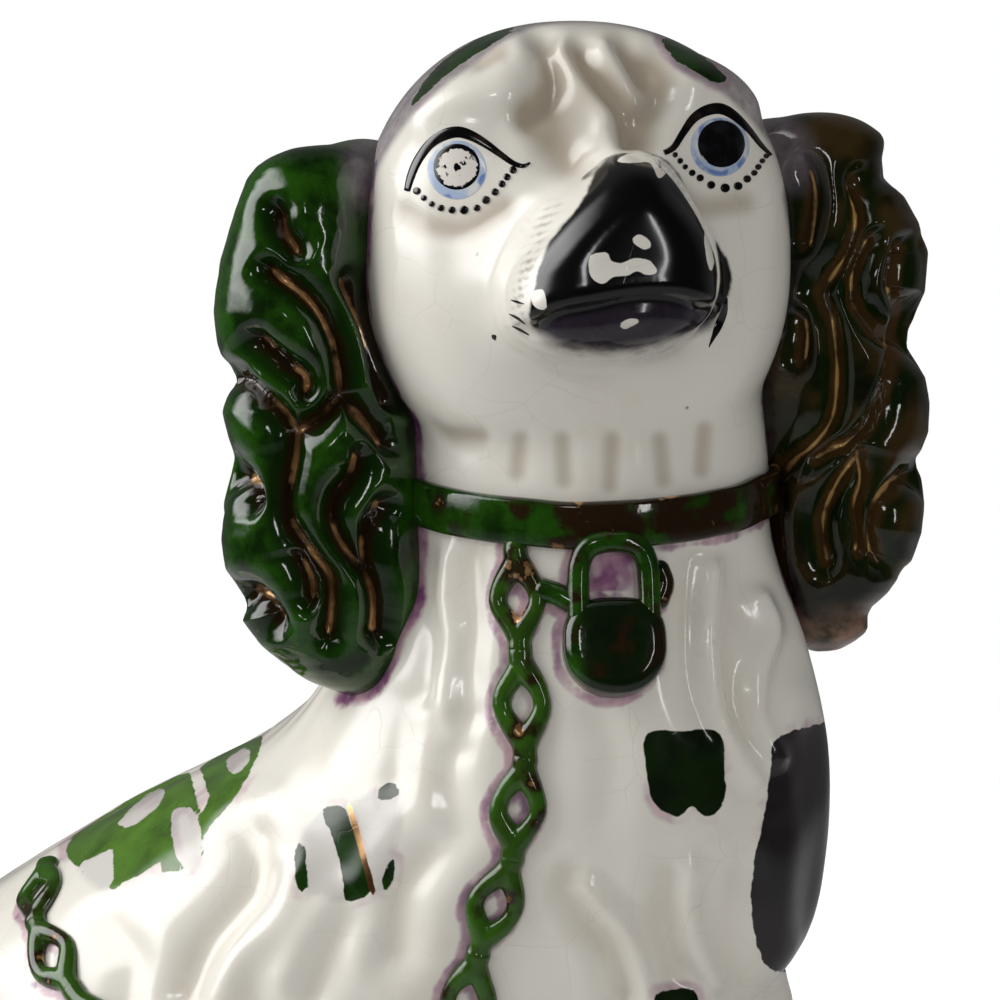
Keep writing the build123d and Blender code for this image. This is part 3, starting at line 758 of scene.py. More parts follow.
# Shapes of the figure before they are carved and pressed
def shape_body():
    """Body with haunches, legs, feet and tail as one skin, and the path of the tail."""
    bm = bmesh.new()
    sections = []
    for height, rear, front, half_depth, fuller in eased_rows(body_rows, 5):
        centre = np.array([(rear + front) / 2, 0, height])
        sections.append((centre, level_axes, ((front - rear) / 2, half_depth), {"fuller": fuller}))
    loft(bm, sections, 96)
    skin = BVHTree.FromBMesh(bm)
    for side in (-1, 1):
        ball(bm, np.array(haunch_centre) * (1, side, 1), (*level_axes, up), haunch_sizes)
        for base_x, spread, rows in (
            (foreleg_x, foreleg_spread, foreleg_rows),
            (hind_foot_x, hind_foot_spread, hind_foot_rows),
        ):
            sections = []
            for height, forward, half_length, half_width in eased_rows(rows, 4):
                centre = np.array([base_x + forward, side * spread, height])
                sections.append((centre, level_axes, (half_length, half_width), {}))
            loft(bm, sections)
    path, radii = [], []
    for turn, height, radius in eased_rows(tail_rows, 4):
        outward = np.array([-cos(radians(turn)), -sin(radians(turn)), 0.0])
        start = np.array([rump_middle, 0, height]) + outward * well_outside
        path.append(np.array(skin.ray_cast(Vector(start), Vector(-outward))[0]))
        radii.append(radius)
    tube(bm, path, radii, [up] * len(path), segments=32)
    everything = bm.verts[:] + bm.edges[:] + bm.faces[:]
    bmesh.ops.bisect_plane(bm, geom=everything, plane_co=(0, 0, 0), plane_no=(0, 0, 1), clear_inner=True)
    bmesh.ops.holes_fill(bm, edges=[edge for edge in bm.edges if edge.is_boundary], sides=0)
    return remeshed(bm, "figure_body", skins["body"]), np.array(path)


def shape_head():
    """Skull, muzzle, raised eyes and neck as one skin."""
    bm = bmesh.new()
    sections = []
    for depth, half_width, half_height, drop, narrow, lean, square in eased_rows(head_rows, 5):
        centre = head_centre + head_out * depth - head_up * drop
        bends = {"narrow": narrow, "lean": lean, "square": square}
        sections.append((centre, (head_right, head_up), (half_width, half_height), bends))
    loft(bm, sections, 96)
    skin = BVHTree.FromBMesh(bm)
    for side in (-1, 1):
        aside = head_right * (side * eye_spread) + head_up * eye_rise
        start = head_centre + aside + head_out * well_outside
        spot, normal, _, _ = skin.ray_cast(Vector(start), Vector(-head_out))
        centre = np.array(spot) - np.array(normal) * (eye_radius - eye_relief)
        ball(bm, centre, (head_right, head_up, head_out), (eye_radius,) * 3)
    sections = []
    for rise, inset in neck_rows:
        centre = np.array([neck_x, 0, joint_height + rise])
        sections.append((centre, level_axes, (neck_half_length - inset, neck_half_depth - inset), {}))
    loft(bm, sections, 96)
    return remeshed(bm, "figure_head", skins["head"])


def shape_ear(side, name):
    """A hanging ear with the rounded root that joins it to the head."""
    bm = bmesh.new()
    sections = []
    for share, half_width, half_depth, shift in eased_rows(ear_rows, 5):
        rise = ear_tops[side] + share * (ear_foot - ear_tops[side])
        centre = head_centre + ear_right * (side * (ear_spread + shift)) + ear_up * rise
        sections.append((centre, (ear_right, level_out), (half_width, half_depth), {}))
    loft(bm, sections)
    across, rise, sizes = ear_roots[side]
    centre = head_centre + ear_right * (side * across) + ear_up * rise - level_out * root_setback
    ball(bm, centre, (ear_right, ear_up, level_out), sizes)
    return remeshed(bm, name, skins["ear"])


# Carving of the ears
def fit_edge(points, edge, side):
    """Moves points across the view until the outer edge of an ear follows a drawn line."""
    across, down = photo_pixels(points).T
    edge = np.array(edge, float)
    wanted = np.interp(down, edge[:, 1], edge[:, 0])
    bands = (down / edge_band).astype(int)
    rows = np.arange(bands.min(), bands.max() + 1)
    outer = [(across[bands == row] * side).max() * side for row in rows]
    inner = [(across[bands == row] * side).min() * side for row in rows]
    outer = np.interp(down, (rows + 0.5) * edge_band, outer)
    inner = np.interp(down, (rows + 0.5) * edge_band, inner)
    span = np.where(np.abs(outer - inner) < least_span, least_span * side, outer - inner)
    stretch = np.clip((wanted - inner) / span, 0.8, 1.25)
    top, bottom = down.min(), down.max()
    fade = ease(down, top + 8, top + 50) * (1 - ease(down, bottom - 40, bottom - 6))
    shift = (across - inner) * (stretch - 1) * fade
    depth = (points - view_point) @ view_forward
    return points + view_right * (shift * depth / photo_scale)[:, None]


def pillow(distance):
    """Inward move beside a groove, so that the skin swells between grooves."""
    return lock_depth * (1 - np.minimum(distance, lock_reach) / lock_reach) ** lock_round


def groove_cut(pixels, line, open_start, open_end):
    """How far a groove cuts in at each point, shallow at its open ends."""
    line = eased_rows(line, line_steps)
    nearest = np.full(len(pixels), np.inf)
    along = np.zeros(len(pixels))
    length = 0.0
    for start, end in zip(line, line[1:]):
        away, share = run_distance(pixels, start, end)
        size = np.linalg.norm(end - start)
        along = np.where(away < nearest, length + share * size, along)
        nearest = np.minimum(nearest, away)
        length += size
    cut = pillow(nearest * pixel_size)
    if open_start:
        cut = cut * ease(along, -4.0, groove_taper)
    if open_end:
        cut = cut * (1 - ease(along, length - groove_taper, length + 4.0))
    return cut


def root_distance(points, side, aside):
    """Distance from a line through the root of an ear, seen from the face."""
    local = points - head_centre
    across, rise, _ = ear_roots[side]
    return np.hypot(side * (local @ ear_right) - across - aside, local @ ear_up - rise - root_above)


def carve_ear(mesh, side, grooves, edge):
    """Carves the locks: the photograph's grooves in front, plain waves behind."""
    points = fit_edge(mesh_array(mesh, "co"), edge, side)
    near_root = 1 - ease(root_distance(points, side, 2.0), 9.0, 16.0)
    points = soften(mesh, points, near_root, 120)
    set_points(mesh, points)
    normals = mesh_array(mesh, "normal")
    pixels = photo_pixels(points)
    drawn = np.zeros(len(points))
    for groove in grooves:
        ends = np.array([groove[0], groove[-1]], float)
        others = [other for other in grooves if other is not groove]
        gaps = np.min([line_distance(ends, other) for other in others], axis=0)
        drawn = np.maximum(drawn, groove_cut(pixels, groove, *(gaps > open_gap)))
    local = points - head_centre
    rise = local @ ear_up
    across = local @ ear_right - side * ear_spread
    around = np.arctan2(local @ level_out, side * across)
    from_wave = np.full(len(points), np.inf)
    for number in range(ear_waves):
        turn = 2 * pi * number / ear_waves + wave_sway * np.sin(rise / wave_length + 1.7 * number)
        gap = np.abs((around - turn + pi) % (2 * pi) - pi)
        from_wave = np.minimum(from_wave, gap * wave_radius)
    ear_top = ear_tops[side]
    ends = ease(rise, ear_foot, ear_foot + 14) * (1 - ease(rise, ear_top - 20, ear_top - 8))
    shown = ease(camera_facing(points, normals), -0.1, 0.15)
    inward = shown * drawn + (1 - shown) * pillow(from_wave) * ends
    set_mark(mesh, "groove", inward / lock_depth)
    set_mark(mesh, "wash", 1 - ease(root_distance(points, side, -3.0), 4.0, 10.0))
    set_mark(mesh, "tip", 1 - ease(rise, ear_foot + 2, ear_foot + 13))
    swell = 0.6 * cloud(points, 12.0, 4 + side) * ends
    points = points - normals * (inward - swell)[:, None]
    set_points(mesh, soften(mesh, points, 0.8, 3))


class Paint:
    """A node tree, with short words for the nodes that glazes are mixed from."""

    def __init__(self, tree, place=None):
        self.tree = tree
        self.place = place

    def feed(self, node, inputs):
        """Sets the inputs of a node, or links them to other outputs."""
        for key, value in inputs.items():
            if isinstance(value, bpy.types.NodeSocket):
                self.tree.links.new(value, node.inputs[key])
            else:
                node.inputs[key].default_value = value

    def node(self, kind, inputs=None, **settings):
        """Adds a node."""
        node = self.tree.nodes.new(kind)
        for key, value in settings.items():
            setattr(node, key, value)
        self.feed(node, inputs or {})
        return node

    def group(self, group):
        """The outputs of a node group at this place."""
        return self.node("ShaderNodeGroup", node_tree=group, inputs={"Position": self.place}).outputs

    def mark(self, name):
        """One of the numbers kept on the mesh."""
        return self.node("ShaderNodeAttribute", attribute_name=name).outputs["Fac"]

    def grain(self, size, detail=3.0, rough=0.55):
        """Noise with a grain size in metres."""
        inputs = {"Vector": self.place, "Scale": 1.0 / size, "Detail": detail, "Roughness": rough}
        return self.node("ShaderNodeTexNoise", inputs).outputs["Fac"]

    def vector(self, operation, first, second):
        """Arithmetic on places and directions."""
        return self.node("ShaderNodeVectorMath", {0: first, 1: second}, operation=operation).outputs

    def math(self, operation, *values, clamp=False):
        """Arithmetic on numbers."""
        inputs = dict(enumerate(values))
        return self.node("ShaderNodeMath", inputs, operation=operation, use_clamp=clamp).outputs[0]

    def times(self, first, second, clamp=False):
        return self.math("MULTIPLY", first, second, clamp=clamp)

    def scaled(self, value, factor, shift):
        """A value times a factor, plus a shift."""
        return self.math("MULTIPLY_ADD", value, factor, shift)

    def step(self, value, low, high):
        """A mask that rises smoothly from low to high."""
        inputs = {"Value": value, "From Min": low, "From Max": high}
        return self.node("ShaderNodeMapRange", inputs, interpolation_type="SMOOTHSTEP").outputs["Result"]

    def mix(self, share, first, second):
        """One colour laid over another by a mask."""
        inputs = {0: share, 6: first, 7: second}
        return self.node("ShaderNodeMix", data_type="RGBA", inputs=inputs).outputs[2]

    def blend(self, share, first, second):
        """One number laid over another by a mask."""
        inputs = {0: share, 2: first, 3: second}
        return self.node("ShaderNodeMix", data_type="FLOAT", inputs=inputs).outputs[0]

    def bump(self, height, strength, distance):
        inputs = {"Height": height, "Strength": strength, "Distance": distance}
        return self.node("ShaderNodeBump", inputs).outputs["Normal"]

    def finish(self, inputs):
        """Feeds the shader of a material."""
        self.feed(self.tree.nodes["Principled BSDF"], inputs)


def new_material(name):
    """A material, and the paint to mix it with."""
    material = bpy.data.materials.new(name)
    material.use_nodes = True
    paint = Paint(material.node_tree)
    paint.place = paint.node("ShaderNodeTexCoord").outputs["Object"]
    return material, paint


def new_group(name, outputs):
    """A node group that reads a position, the paint to mix it with, and the node of its outputs."""
    group = bpy.data.node_groups.new(name, "ShaderNodeTree")
    group.interface.new_socket("Position", in_out="INPUT", socket_type="NodeSocketVector")
    for label, kind in outputs.items():
        group.interface.new_socket(label, in_out="OUTPUT", socket_type="NodeSocket" + kind)
    place = group.nodes.new("NodeGroupInput").outputs["Position"]
    return group, Paint(group, place), group.nodes.new("NodeGroupOutput")


# Aged glaze: fine crazing, tan stains and small pits
aged_glaze, aging, aged_out = new_group("aged_glaze", {
    "Crazing": "Float", "Stain": "Float", "Drift": "Float", "Pits": "Float",
})
bend = aging.node("ShaderNodeTexNoise", {"Vector": aging.place, "Scale": 90.0, "Detail": 2.0})
bent = aging.vector("MULTIPLY", bend.outputs["Color"], (0.004, 0.004, 0.004))[0]
bent_place = aging.vector("ADD", aging.place, bent)[0]
cells = aging.node("ShaderNodeTexVoronoi", {"Vector": bent_place, "Scale": 95.0}, feature="DISTANCE_TO_EDGE")
cracks = aging.step(cells.outputs["Distance"], 0.012, 0.0)
pits = aging.node("ShaderNodeTexVoronoi", {"Vector": aging.place, "Scale": 160.0}, feature="F1")
pit_mask = aging.step(pits.outputs["Distance"], 0.09, 0.05)
aging.feed(aged_out, {
    "Crazing": aging.times(cracks, aging.step(aging.grain(0.03), 0.42, 0.62)),
    "Stain": aging.step(aging.grain(0.018, 5.0), 0.52, 0.74),
    "Drift": aging.grain(0.05, 2.0),
    "Pits": aging.times(pit_mask, aging.step(aging.grain(0.008), 0.64, 0.7)),
})

# Green enamel and copper lustre, both mottled
green_enamel, greening, green_out = new_group("green_enamel", {
    "Green": "Color", "Copper": "Color", "Lustre": "Float", "Mottle": "Float",
})
mottle = greening.grain(0.008, 6.0, 0.65)
greening.feed(green_out, {
    "Green": greening.mix(greening.step(mottle, 0.32, 0.66), green_dark, green_light),
    "Copper": greening.mix(greening.step(greening.grain(0.010), 0.35, 0.7), copper_dark, copper_light),
    "Lustre": greening.step(greening.grain(0.009), 0.42, 0.58),
    "Mottle": mottle,
})


def make_green(name, has_groove=False, dark=0.0):
    """Green enamel with copper lustre, browned in the grooves of locks, or in patches elsewhere. On the
    locks, painted shade darkens the green beside the grooves and over the whole shaded ear.
    """
    material, paint = new_material(name)
    enamel = paint.group(green_enamel)
    copper = enamel["Copper"]
    # Painted shade: the padlock darkens away from its left edge, which stays green
    padlock_shade = paint.times(paint.mark("padlock_shade"), dark) if dark else 0.0
    colour = paint.mix(padlock_shade, enamel["Green"], padlock_shade_black)
    if has_groove:
        shaded_ear = paint.mark("shaded_ear")
        edge = paint.math("ADD", paint.mark("groove"), paint.scaled(paint.grain(0.004), 0.30, -0.15))
        amber = paint.step(paint.grain(0.011, 4.0), 0.36, 0.62)
        # Painted shade: the shaded ear's green is covered with near-black and brown-black
        colour = paint.mix(shaded_ear, colour, paint.mix(amber, ear_shade_black, ear_shade_brown))
        # Painted shade: the green darkens towards each groove
        colour = paint.mix(paint.times(paint.step(edge, 0.04, 0.36), 0.8), colour, green_dark)
        brown = paint.times(paint.step(edge, 0.40, 0.68), 0.95)
        colour = paint.mix(brown, colour, paint.mix(shaded_ear, groove_brown, groove_umber))
        wall = paint.step(paint.scaled(shaded_ear, -0.09, edge), 0.76, 0.88)
        copper_mask = paint.times(wall, enamel["Lustre"])
        # On the shaded ear the copper turns bright gold: gold lustre and a painted glint
        copper = paint.mix(shaded_ear, copper, gold_lustre_glint)
        tip = paint.times(paint.mark("tip"), shaded_ear)
        tip = paint.times(tip, paint.step(paint.grain(0.006, 4.0), 0.32, 0.62))
        colour = paint.mix(tip, colour, lustre_tan)
        wash = paint.times(paint.mark("wash"), paint.grain(0.004, 5.0, 0.7))
        colour = paint.mix(paint.times(wash, 1.3, clamp=True), colour, lavender)
    else:
        umber = paint.mark("umber")
        colour = paint.mix(paint.times(paint.step(umber, -0.1, -1.0), 0.22), colour, fresh_green)
        umber = paint.math("MAXIMUM", umber, 0.0)
        spread = paint.scaled(umber, 0.16, paint.grain(0.007, 4.0))
        colour = paint.mix(paint.step(spread, 0.50, 0.64), colour, groove_brown)
        copper_mask = paint.step(paint.scaled(umber, -0.13, spread), 0.64, 0.70)
    paint.finish({
        "Base Color": paint.mix(copper_mask, colour, copper),
        "Metallic": paint.times(copper_mask, 0.65),
        "Roughness": paint.blend(copper_mask, 0.10, 0.25),
        "Coat Weight": 0.25,
        "Coat Roughness": 0.04,
        "Normal": paint.bump(paint.grain(0.004), 0.18, 0.0006),
    })
    return material


def spot_paint(paint, enamel):
    """Green spots, from fresh to nearly black, and a mauve painted reflection where they are darkest."""
    tone = paint.mark("tone")
    colour = paint.mix(paint.times(tone, 0.9, clamp=True), enamel["Green"], spot_black)
    fresh = paint.times(paint.step(tone, 0.0, -0.5), enamel["Mottle"])
    colour = paint.mix(paint.times(fresh, 1.5, clamp=True), colour, fresh_green)
    # Painted reflection: mauve over the darkest spot
    mauve = paint.times(paint.step(tone, 1.1, 1.5), paint.grain(0.015, 4.0))
    return paint.mix(paint.times(mauve, 0.9, clamp=True), colour, spot_reflection_mauve)


def face_paint(paint, colour, bare, rough):
    """Lavender seam, brush ticks, smudged chin and the black nose with its chips."""
    seam = paint.scaled(paint.grain(0.004, 5.0, 0.7), 0.8, 0.35)
    seam = paint.times(paint.mark("seam"), seam, clamp=True)
    colour = paint.mix(paint.times(seam, bare), colour, lavender)
    colour = paint.mix(paint.times(paint.mark("ticks"), 0.75), colour, tick_brown)
    streaks = paint.grain(0.0035, 5.0, 0.7)
    smudge = paint.times(paint.mark("smudge"), streaks)
    colour = paint.mix(paint.times(smudge, 1.5, clamp=True), colour, lip_mauve)
    wander = paint.scaled(paint.grain(0.0025, 4.0), 1.0, -0.5)
    lip = paint.mark("lip")
    soft = paint.math("ADD", lip, 0.35)
    snout_edge = paint.math("ADD", paint.mark("snout"), wander)
    black = paint.step(snout_edge, soft, paint.times(soft, -1.0))
    chip_edge = paint.scaled(wander, 0.5, paint.mark("chip"))
    black = paint.times(black, paint.step(chip_edge, -0.08, 0.08))
    thin = paint.times(paint.times(lip, streaks), 1.4, clamp=True)
    colour = paint.mix(black, colour, paint.mix(thin, black_enamel, lip_mauve))
    return colour, paint.blend(black, rough, 0.16)


def broken_spot_paint(paint, colour, bare, copper):
    """Grey wash where spots have worn off, and the copper stroke on the flank."""
    broken = paint.times(paint.mark("wash"), bare)
    colour = paint.mix(paint.times(broken, 0.55), colour, wash_grey)
    aside = paint.math("ADD", paint.math("ABSOLUTE", paint.mark("stroke")), paint.mark("stroke_end"))
    stroke = paint.step(paint.scaled(paint.grain(0.002, 4.0), 0.7, aside), 1.0, 0.75)
    return paint.mix(stroke, colour, copper), paint.times(stroke, 0.7)


def make_cream(name, is_head=False):
    """Cream glaze with spots and mauve fringes, and what is painted on the head or the body alone."""
    material, paint = new_material(name)
    aged = paint.group(aged_glaze)
    enamel = paint.group(green_enamel)
    colour = paint.mix(paint.times(aged["Stain"], 0.35), cream, cream_warm)
    # Glaze pooled in hollows; on the head this also lays painted shade over the brow
    pooling_and_brow_shade = paint.times(paint.step(paint.mark("pooled_tan_and_shade"), 0.15, 1.0), 0.7 if is_head else 0.25)
    colour = paint.mix(pooling_and_brow_shade, colour, tan_pool_and_brow_shade if is_head else cream_warm)
    colour = paint.mix(paint.times(aged["Crazing"], 0.22), colour, craze_brown)
    colour = paint.mix(aged["Pits"], colour, pit_brown)
    fringe_edge = paint.math("ADD", paint.mark("fringe"), paint.scaled(paint.grain(0.005), 1.6, -0.8))
    fringe = paint.times(paint.step(fringe_edge, 1.25, 0.55), paint.step(paint.grain(0.012), 0.30, 0.50))
    lustre = paint.mix(paint.step(paint.grain(0.007), 0.35, 0.65), lustre_purple, lustre_pink)
    colour = paint.mix(paint.times(fringe, paint.mark("lustre")), colour, lustre)
    spot_edge = paint.scaled(paint.grain(0.003, 4.0), 1.2, paint.mark("spot"))
    halo = paint.times(paint.step(spot_edge, 2.6, 1.4), paint.step(paint.grain(0.014), 0.46, 0.60))
    colour = paint.mix(paint.times(halo, 0.6), colour, lustre)
    spot = paint.step(spot_edge, 0.75, 0.50)
    colour = paint.mix(spot, colour, spot_paint(paint, enamel))
    rough = paint.blend(spot, 0.17, 0.16)
    bare = paint.math("SUBTRACT", 1.0, spot)
    metal = 0.0
    if is_head:
        colour, rough = face_paint(paint, colour, bare, rough)
    else:
        colour, metal = broken_spot_paint(paint, colour, bare, enamel["Copper"])
    lumps = paint.scaled(aged["Crazing"], -0.15, aged["Drift"])
    paint.finish({
        "Base Color": colour,
        "Metallic": metal,
        "Roughness": rough,
        "Coat Weight": 0.25,
        "Coat Roughness": 0.05,
        "Normal": paint.bump(lumps, 0.15, 0.0006),
    })
    return material


def make_enamel(name, thin_colour):
    """Thick brushed black that thins out in places."""
    material, paint = new_material(name)
    thin = paint.step(paint.grain(0.004, 4.0), 0.45, 0.7)
    paint.finish({
        "Base Color": paint.mix(thin, black_enamel, thin_colour),
        "Roughness": paint.blend(thin, 0.10, 0.2),
        "Coat Weight": 0.5,
        "Coat Roughness": 0.05,
    })
    return material


def make_iris():
    """Thin grey-blue enamel over the cream, with a few strokes of a stronger blue near its edge."""
    material, paint = new_material("iris_enamel")
    thin = paint.step(paint.grain(0.004, 4.0), 0.42, 0.68)
    rim = paint.mark("rim")
    band = paint.times(paint.step(rim, 0.74, 0.82), paint.step(rim, 0.98, 0.90))
    stroke = paint.times(band, paint.step(paint.grain(0.0045, 2.0), 0.52, 0.60))
    colour = paint.mix(thin, iris_blue, iris_grey)
    paint.finish({
        "Base Color": paint.mix(paint.times(stroke, 0.8), colour, iris_stroke),
        "Roughness": paint.blend(thin, 0.14, 0.24),
    })
    return material


def make_worn_pupil():
    """A pupil whose black has flaked off to leave a ring and specks."""
    material, paint = new_material("worn_pupil_enamel")
    flakes = paint.grain(0.0016, 4.0, 0.6)
    ragged = paint.scaled(flakes, 0.7, paint.mark("rim"))
    black = paint.math("MAXIMUM", paint.step(ragged, 1.12, 1.17), paint.step(flakes, 0.64, 0.67))
    black = paint.math("MAXIMUM", black, paint.step(ragged, 0.52, 0.47))
    paint.finish({
        "Base Color": paint.mix(black, flaked_cream, black_enamel),
        "Roughness": paint.blend(black, 0.35, 0.12),
    })
    return material


def make_biscuit():
    """Bare fired clay, grey-buff, with rubbed dust."""
    material, paint = new_material("bare_biscuit_clay")
    dust = paint.step(paint.grain(0.012, 5.0), 0.35, 0.7)
    paint.finish({
        "Base Color": paint.mix(dust, clay_buff, clay_dust),
        "Roughness": paint.blend(dust, 0.75, 0.92),
        "Normal": paint.bump(paint.grain(0.0012), 0.4, 0.0004),
    })
    return material


cream_body = make_cream("cream_glaze_body")
cream_head = make_cream("cream_glaze_head", is_head=True)
green_ear = make_green("green_lustre_locks", has_groove=True)
green_band = make_green("green_lustre_band")
green_lock = make_green("green_lustre_padlock", dark=0.9)
eye_black = make_enamel("eye_line_enamel", line_umber)
eye_blue = make_iris()
eye_worn = make_worn_pupil()
eye_pupil = make_enamel("pupil_enamel", pupil_blue)
biscuit = make_biscuit()

# Ears
ear_points = {}
# The left ear gets most of the painted shade, the right ear none
for side, name, grooves, edge, shaded_ear in (
    (-1, "right_ear", right_ear_grooves, right_ear_edge, 0.0),
    (1, "left_ear", left_ear_grooves, left_ear_edge, 0.93),
):
    ear_mesh = shape_ear(side, "figure_" + name)
    carve_ear(ear_mesh, side, grooves, edge)
    set_mark(ear_mesh, "shaded_ear", shaded_ear)
    ear_points[name] = mesh_array(ear_mesh, "co")
    finish_piece(ear_mesh, "figure_" + name, green_ear, [name])


def ear_distance(points, reach):
    """Distance to the nearest ear, told up to twice the reach."""
    return np.min([nearest_distance(points, ear, reach) for ear in ear_points.values()], axis=0)


# Head: brows, furrows and mouth are pressed into the soft skin
def press_head(mesh, depth):
    """Presses the head into shape, and tells where tan glaze pools in its furrows and mouth and where
    painted shade tans the brow.
    """
    points, normals = mesh_array(mesh, "co"), mesh_array(mesh, "normal")
    in_front = ease(camera_facing(points, normals), 0.0, 0.3) * ease(depth, 5.0, 12.0)
    throat = hill(points[:, 2] - throat_height, 9.0) * (1 - ease(depth, 30.0, 36.0))
    cheeks = 0.5 * hill(depth - cheek_depth, 5.0)
    bulb = 0.8 * ease(depth, 40.0, 46.0)
    points = soften(mesh, points, np.clip(throat + cheeks + bulb, 0, 1), 90)
    set_points(mesh, points)
    pixels = photo_pixels(points)
    lift, pooling_and_brow_shade = np.zeros(len(points)), np.zeros(len(points))
    for furrow, furrow_depth, reach in furrow_lines:
        trough = hill(line_distance(pixels, furrow) * pixel_size, reach)
        lift -= furrow_depth * trough
        pooling_and_brow_shade += 0.7 * trough
    for ridge, height, reach in ridge_lines:
        lift += height * hill(line_distance(pixels, ridge) * pixel_size, reach)
    from_mouth = line_distance(pixels, mouth_line) * pixel_size
    lift -= mouth_depth * hill(from_mouth, 1.9)
    lift += lip_height * hill(line_distance(pixels, lip_line) * pixel_size, 2.6)
    pooling_and_brow_shade += 0.6 * hill(from_mouth, 2.0)
    # Painted shade: a tan patch over the brow
    pooling_and_brow_shade += 0.55 * hill(np.linalg.norm((pixels - brow_shade_middle) / brow_shade_spread, axis=1), 1.0)
    points = points + mesh_array(mesh, "normal") * (lift * in_front)[:, None]
    points = soften(mesh, points, 0.6, 6)
    from_eye = [np.linalg.norm(pixels - parts["iris"][:2], axis=1) for parts in eyes.values()]
    points = soften(mesh, points, 1 - ease(np.min(from_eye, axis=0), 30.0, 60.0), 30)
    set_points(mesh, points)
    set_mark(mesh, "pooled_tan_and_shade", np.clip(pooling_and_brow_shade * in_front, 0, 1))


def mark_nose(mesh, points, pixels, facing, depth):
    """Where the nose, its chips, the lip, the smudged chin and the brush ticks lie."""
    on_muzzle = depth > muzzle_start
    in_face = on_muzzle & (facing > -0.2)
    # The side of the muzzle that the photograph hides is painted as a mirror of the side it shows
    mirrored = points - 2 * np.outer((points - head_centre) @ head_right, head_right)
    shown = ease(facing, 0.05, 0.3)
    snout = shown * drawn_distance(pixels, snout_outline)
    snout += (1 - shown) * drawn_distance(photo_pixels(mirrored), snout_outline)
    set_mark(mesh, "snout", snout * pixel_size + np.where(on_muzzle, 0.0, far_away))
    chip = np.min([drawn_distance(pixels, outline) for outline in chip_outlines], axis=0) * pixel_size
    set_mark(mesh, "chip", np.where(facing > 0.2, np.minimum(chip, 10.0), 10.0))
    across, down = pixels.T
    mouth = np.array(mouth_line, float)
    under = ease(down - np.interp(across, mouth[:, 0], mouth[:, 1]), -4.0, 6.0)
    set_mark(mesh, "lip", under * in_face)
    chin_across, chin_down = (pixels - chin_middle).T
    chin = hill(chin_down, 15.0) * hill(chin_across ** 2, 66.0 ** 2)
    set_mark(mesh, "smudge", chin * in_face)
    ticks = np.array(tick_line, float)
    aside = across - np.interp(down, ticks[:, 1], ticks[:, 0])
    near = hill(aside, 7.0) * ease(down, 196, 206) * (1 - ease(down, 322, 332)) * in_face
    beat = np.cos(2 * pi * (down + 0.35 * aside) / tick_spacing) + 0.9 * cloud(points, 3.0, 8)
    set_mark(mesh, "ticks", 0.8 * near * ease(beat, 0.3, 1.0))


def mark_crown(mesh, points, pixels, facing, places):
    """Where the lavender seam behind the face and the green patches of the crown lie."""
    _, rise, depth = places.T
    shown = ease(facing, -0.2, 0.0)
    seam = shown * ease(drawn_distance(pixels, face_outline), -2.0, 6.0)
    set_mark(mesh, "seam", seam + (1 - shown) * hill(depth + 4.0, 4.0) * ease(rise, 4.0, 16.0))
    patch = np.minimum(blob_distance(places, crown_blobs) + 5.0 * cloud(points, 10.0, 9), far_away)
    patch = np.maximum(patch, depth + 9.0) + 20.0 * shown
    turned_away = 60.0 * np.clip(-facing - 0.1, 0.0, 1.0)
    for outline in crown_outlines:
        patch = np.minimum(patch, drawn_distance(pixels, outline) * pixel_size + turned_away)
    set_mark(mesh, "spot", patch)
    set_mark(mesh, "tone", 0.5)


head_mesh = shape_head()
head_axes = np.stack([head_right, head_up, head_out], axis=1)
head_places = (mesh_array(head_mesh, "co") - head_centre) @ head_axes
press_head(head_mesh, head_places[:, 2])
head_points = mesh_array(head_mesh, "co")
head_pixels = photo_pixels(head_points)
head_facing = camera_facing(head_points, mesh_array(head_mesh, "normal"))
mark_nose(head_mesh, head_points, head_pixels, head_facing, head_places[:, 2])
mark_crown(head_mesh, head_points, head_pixels, head_facing, head_places)
above_ears = head_points[:, 2] > ear_fringe_top
set_mark(head_mesh, "fringe", ear_distance(head_points, 6.0) * 0.5 + np.where(above_ears, 6.0, 0.0))
set_mark(head_mesh, "lustre", 1.0)
head_tree = mesh_tree(head_mesh)
finish_piece(head_mesh, "figure_head", cream_head, ["head_front", "head_rear"])


# Eyes: raised enamel laid on the head where the photograph shows it
def lay_on_head(bm):
    """Turns pixel coordinates and a height in millimetres into points on the head."""
    for vert in bm.verts:
        ray = photo_ray(vert.co.x, vert.co.y)
        spot, normal, _, _ = head_tree.ray_cast(Vector(view_point), Vector(ray))
        if spot is None:
            spot, normal, _, _ = head_tree.find_nearest(Vector(view_point + ray * view_distance))
        vert.co = spot + normal * vert.co.z


def enamel_drop(bm, across, down, radius, height, segments):
    """A round drop of enamel with its foot in the glaze."""
    made = bmesh.ops.create_uvsphere(bm, u_segments=segments, v_segments=segments // 2, radius=1.0)
    for vert in made["verts"]:
        rise = height * vert.co.z ** 0.5 if vert.co.z > 0 else 0.5 * vert.co.z
        vert.co = Vector((across + radius * vert.co.x, down + radius * vert.co.y, rise))


def enamel_stroke(bm, line, height):
    """A brushed line that swells and thins."""
    rows = eased_rows(line, 5)
    sections = []
    for index, (across, down, half_width) in enumerate(rows):
        run = unit(rows[min(index + 1, len(rows) - 1)][:2] - rows[max(index - 1, 0)][:2])
        side = np.array([-run[1], run[0], 0.0])
        centre = np.array([across, down, -stroke_sink])
        sections.append((centre, (side, up), (half_width, height + stroke_sink), {}))
    loft(bm, sections, 12)


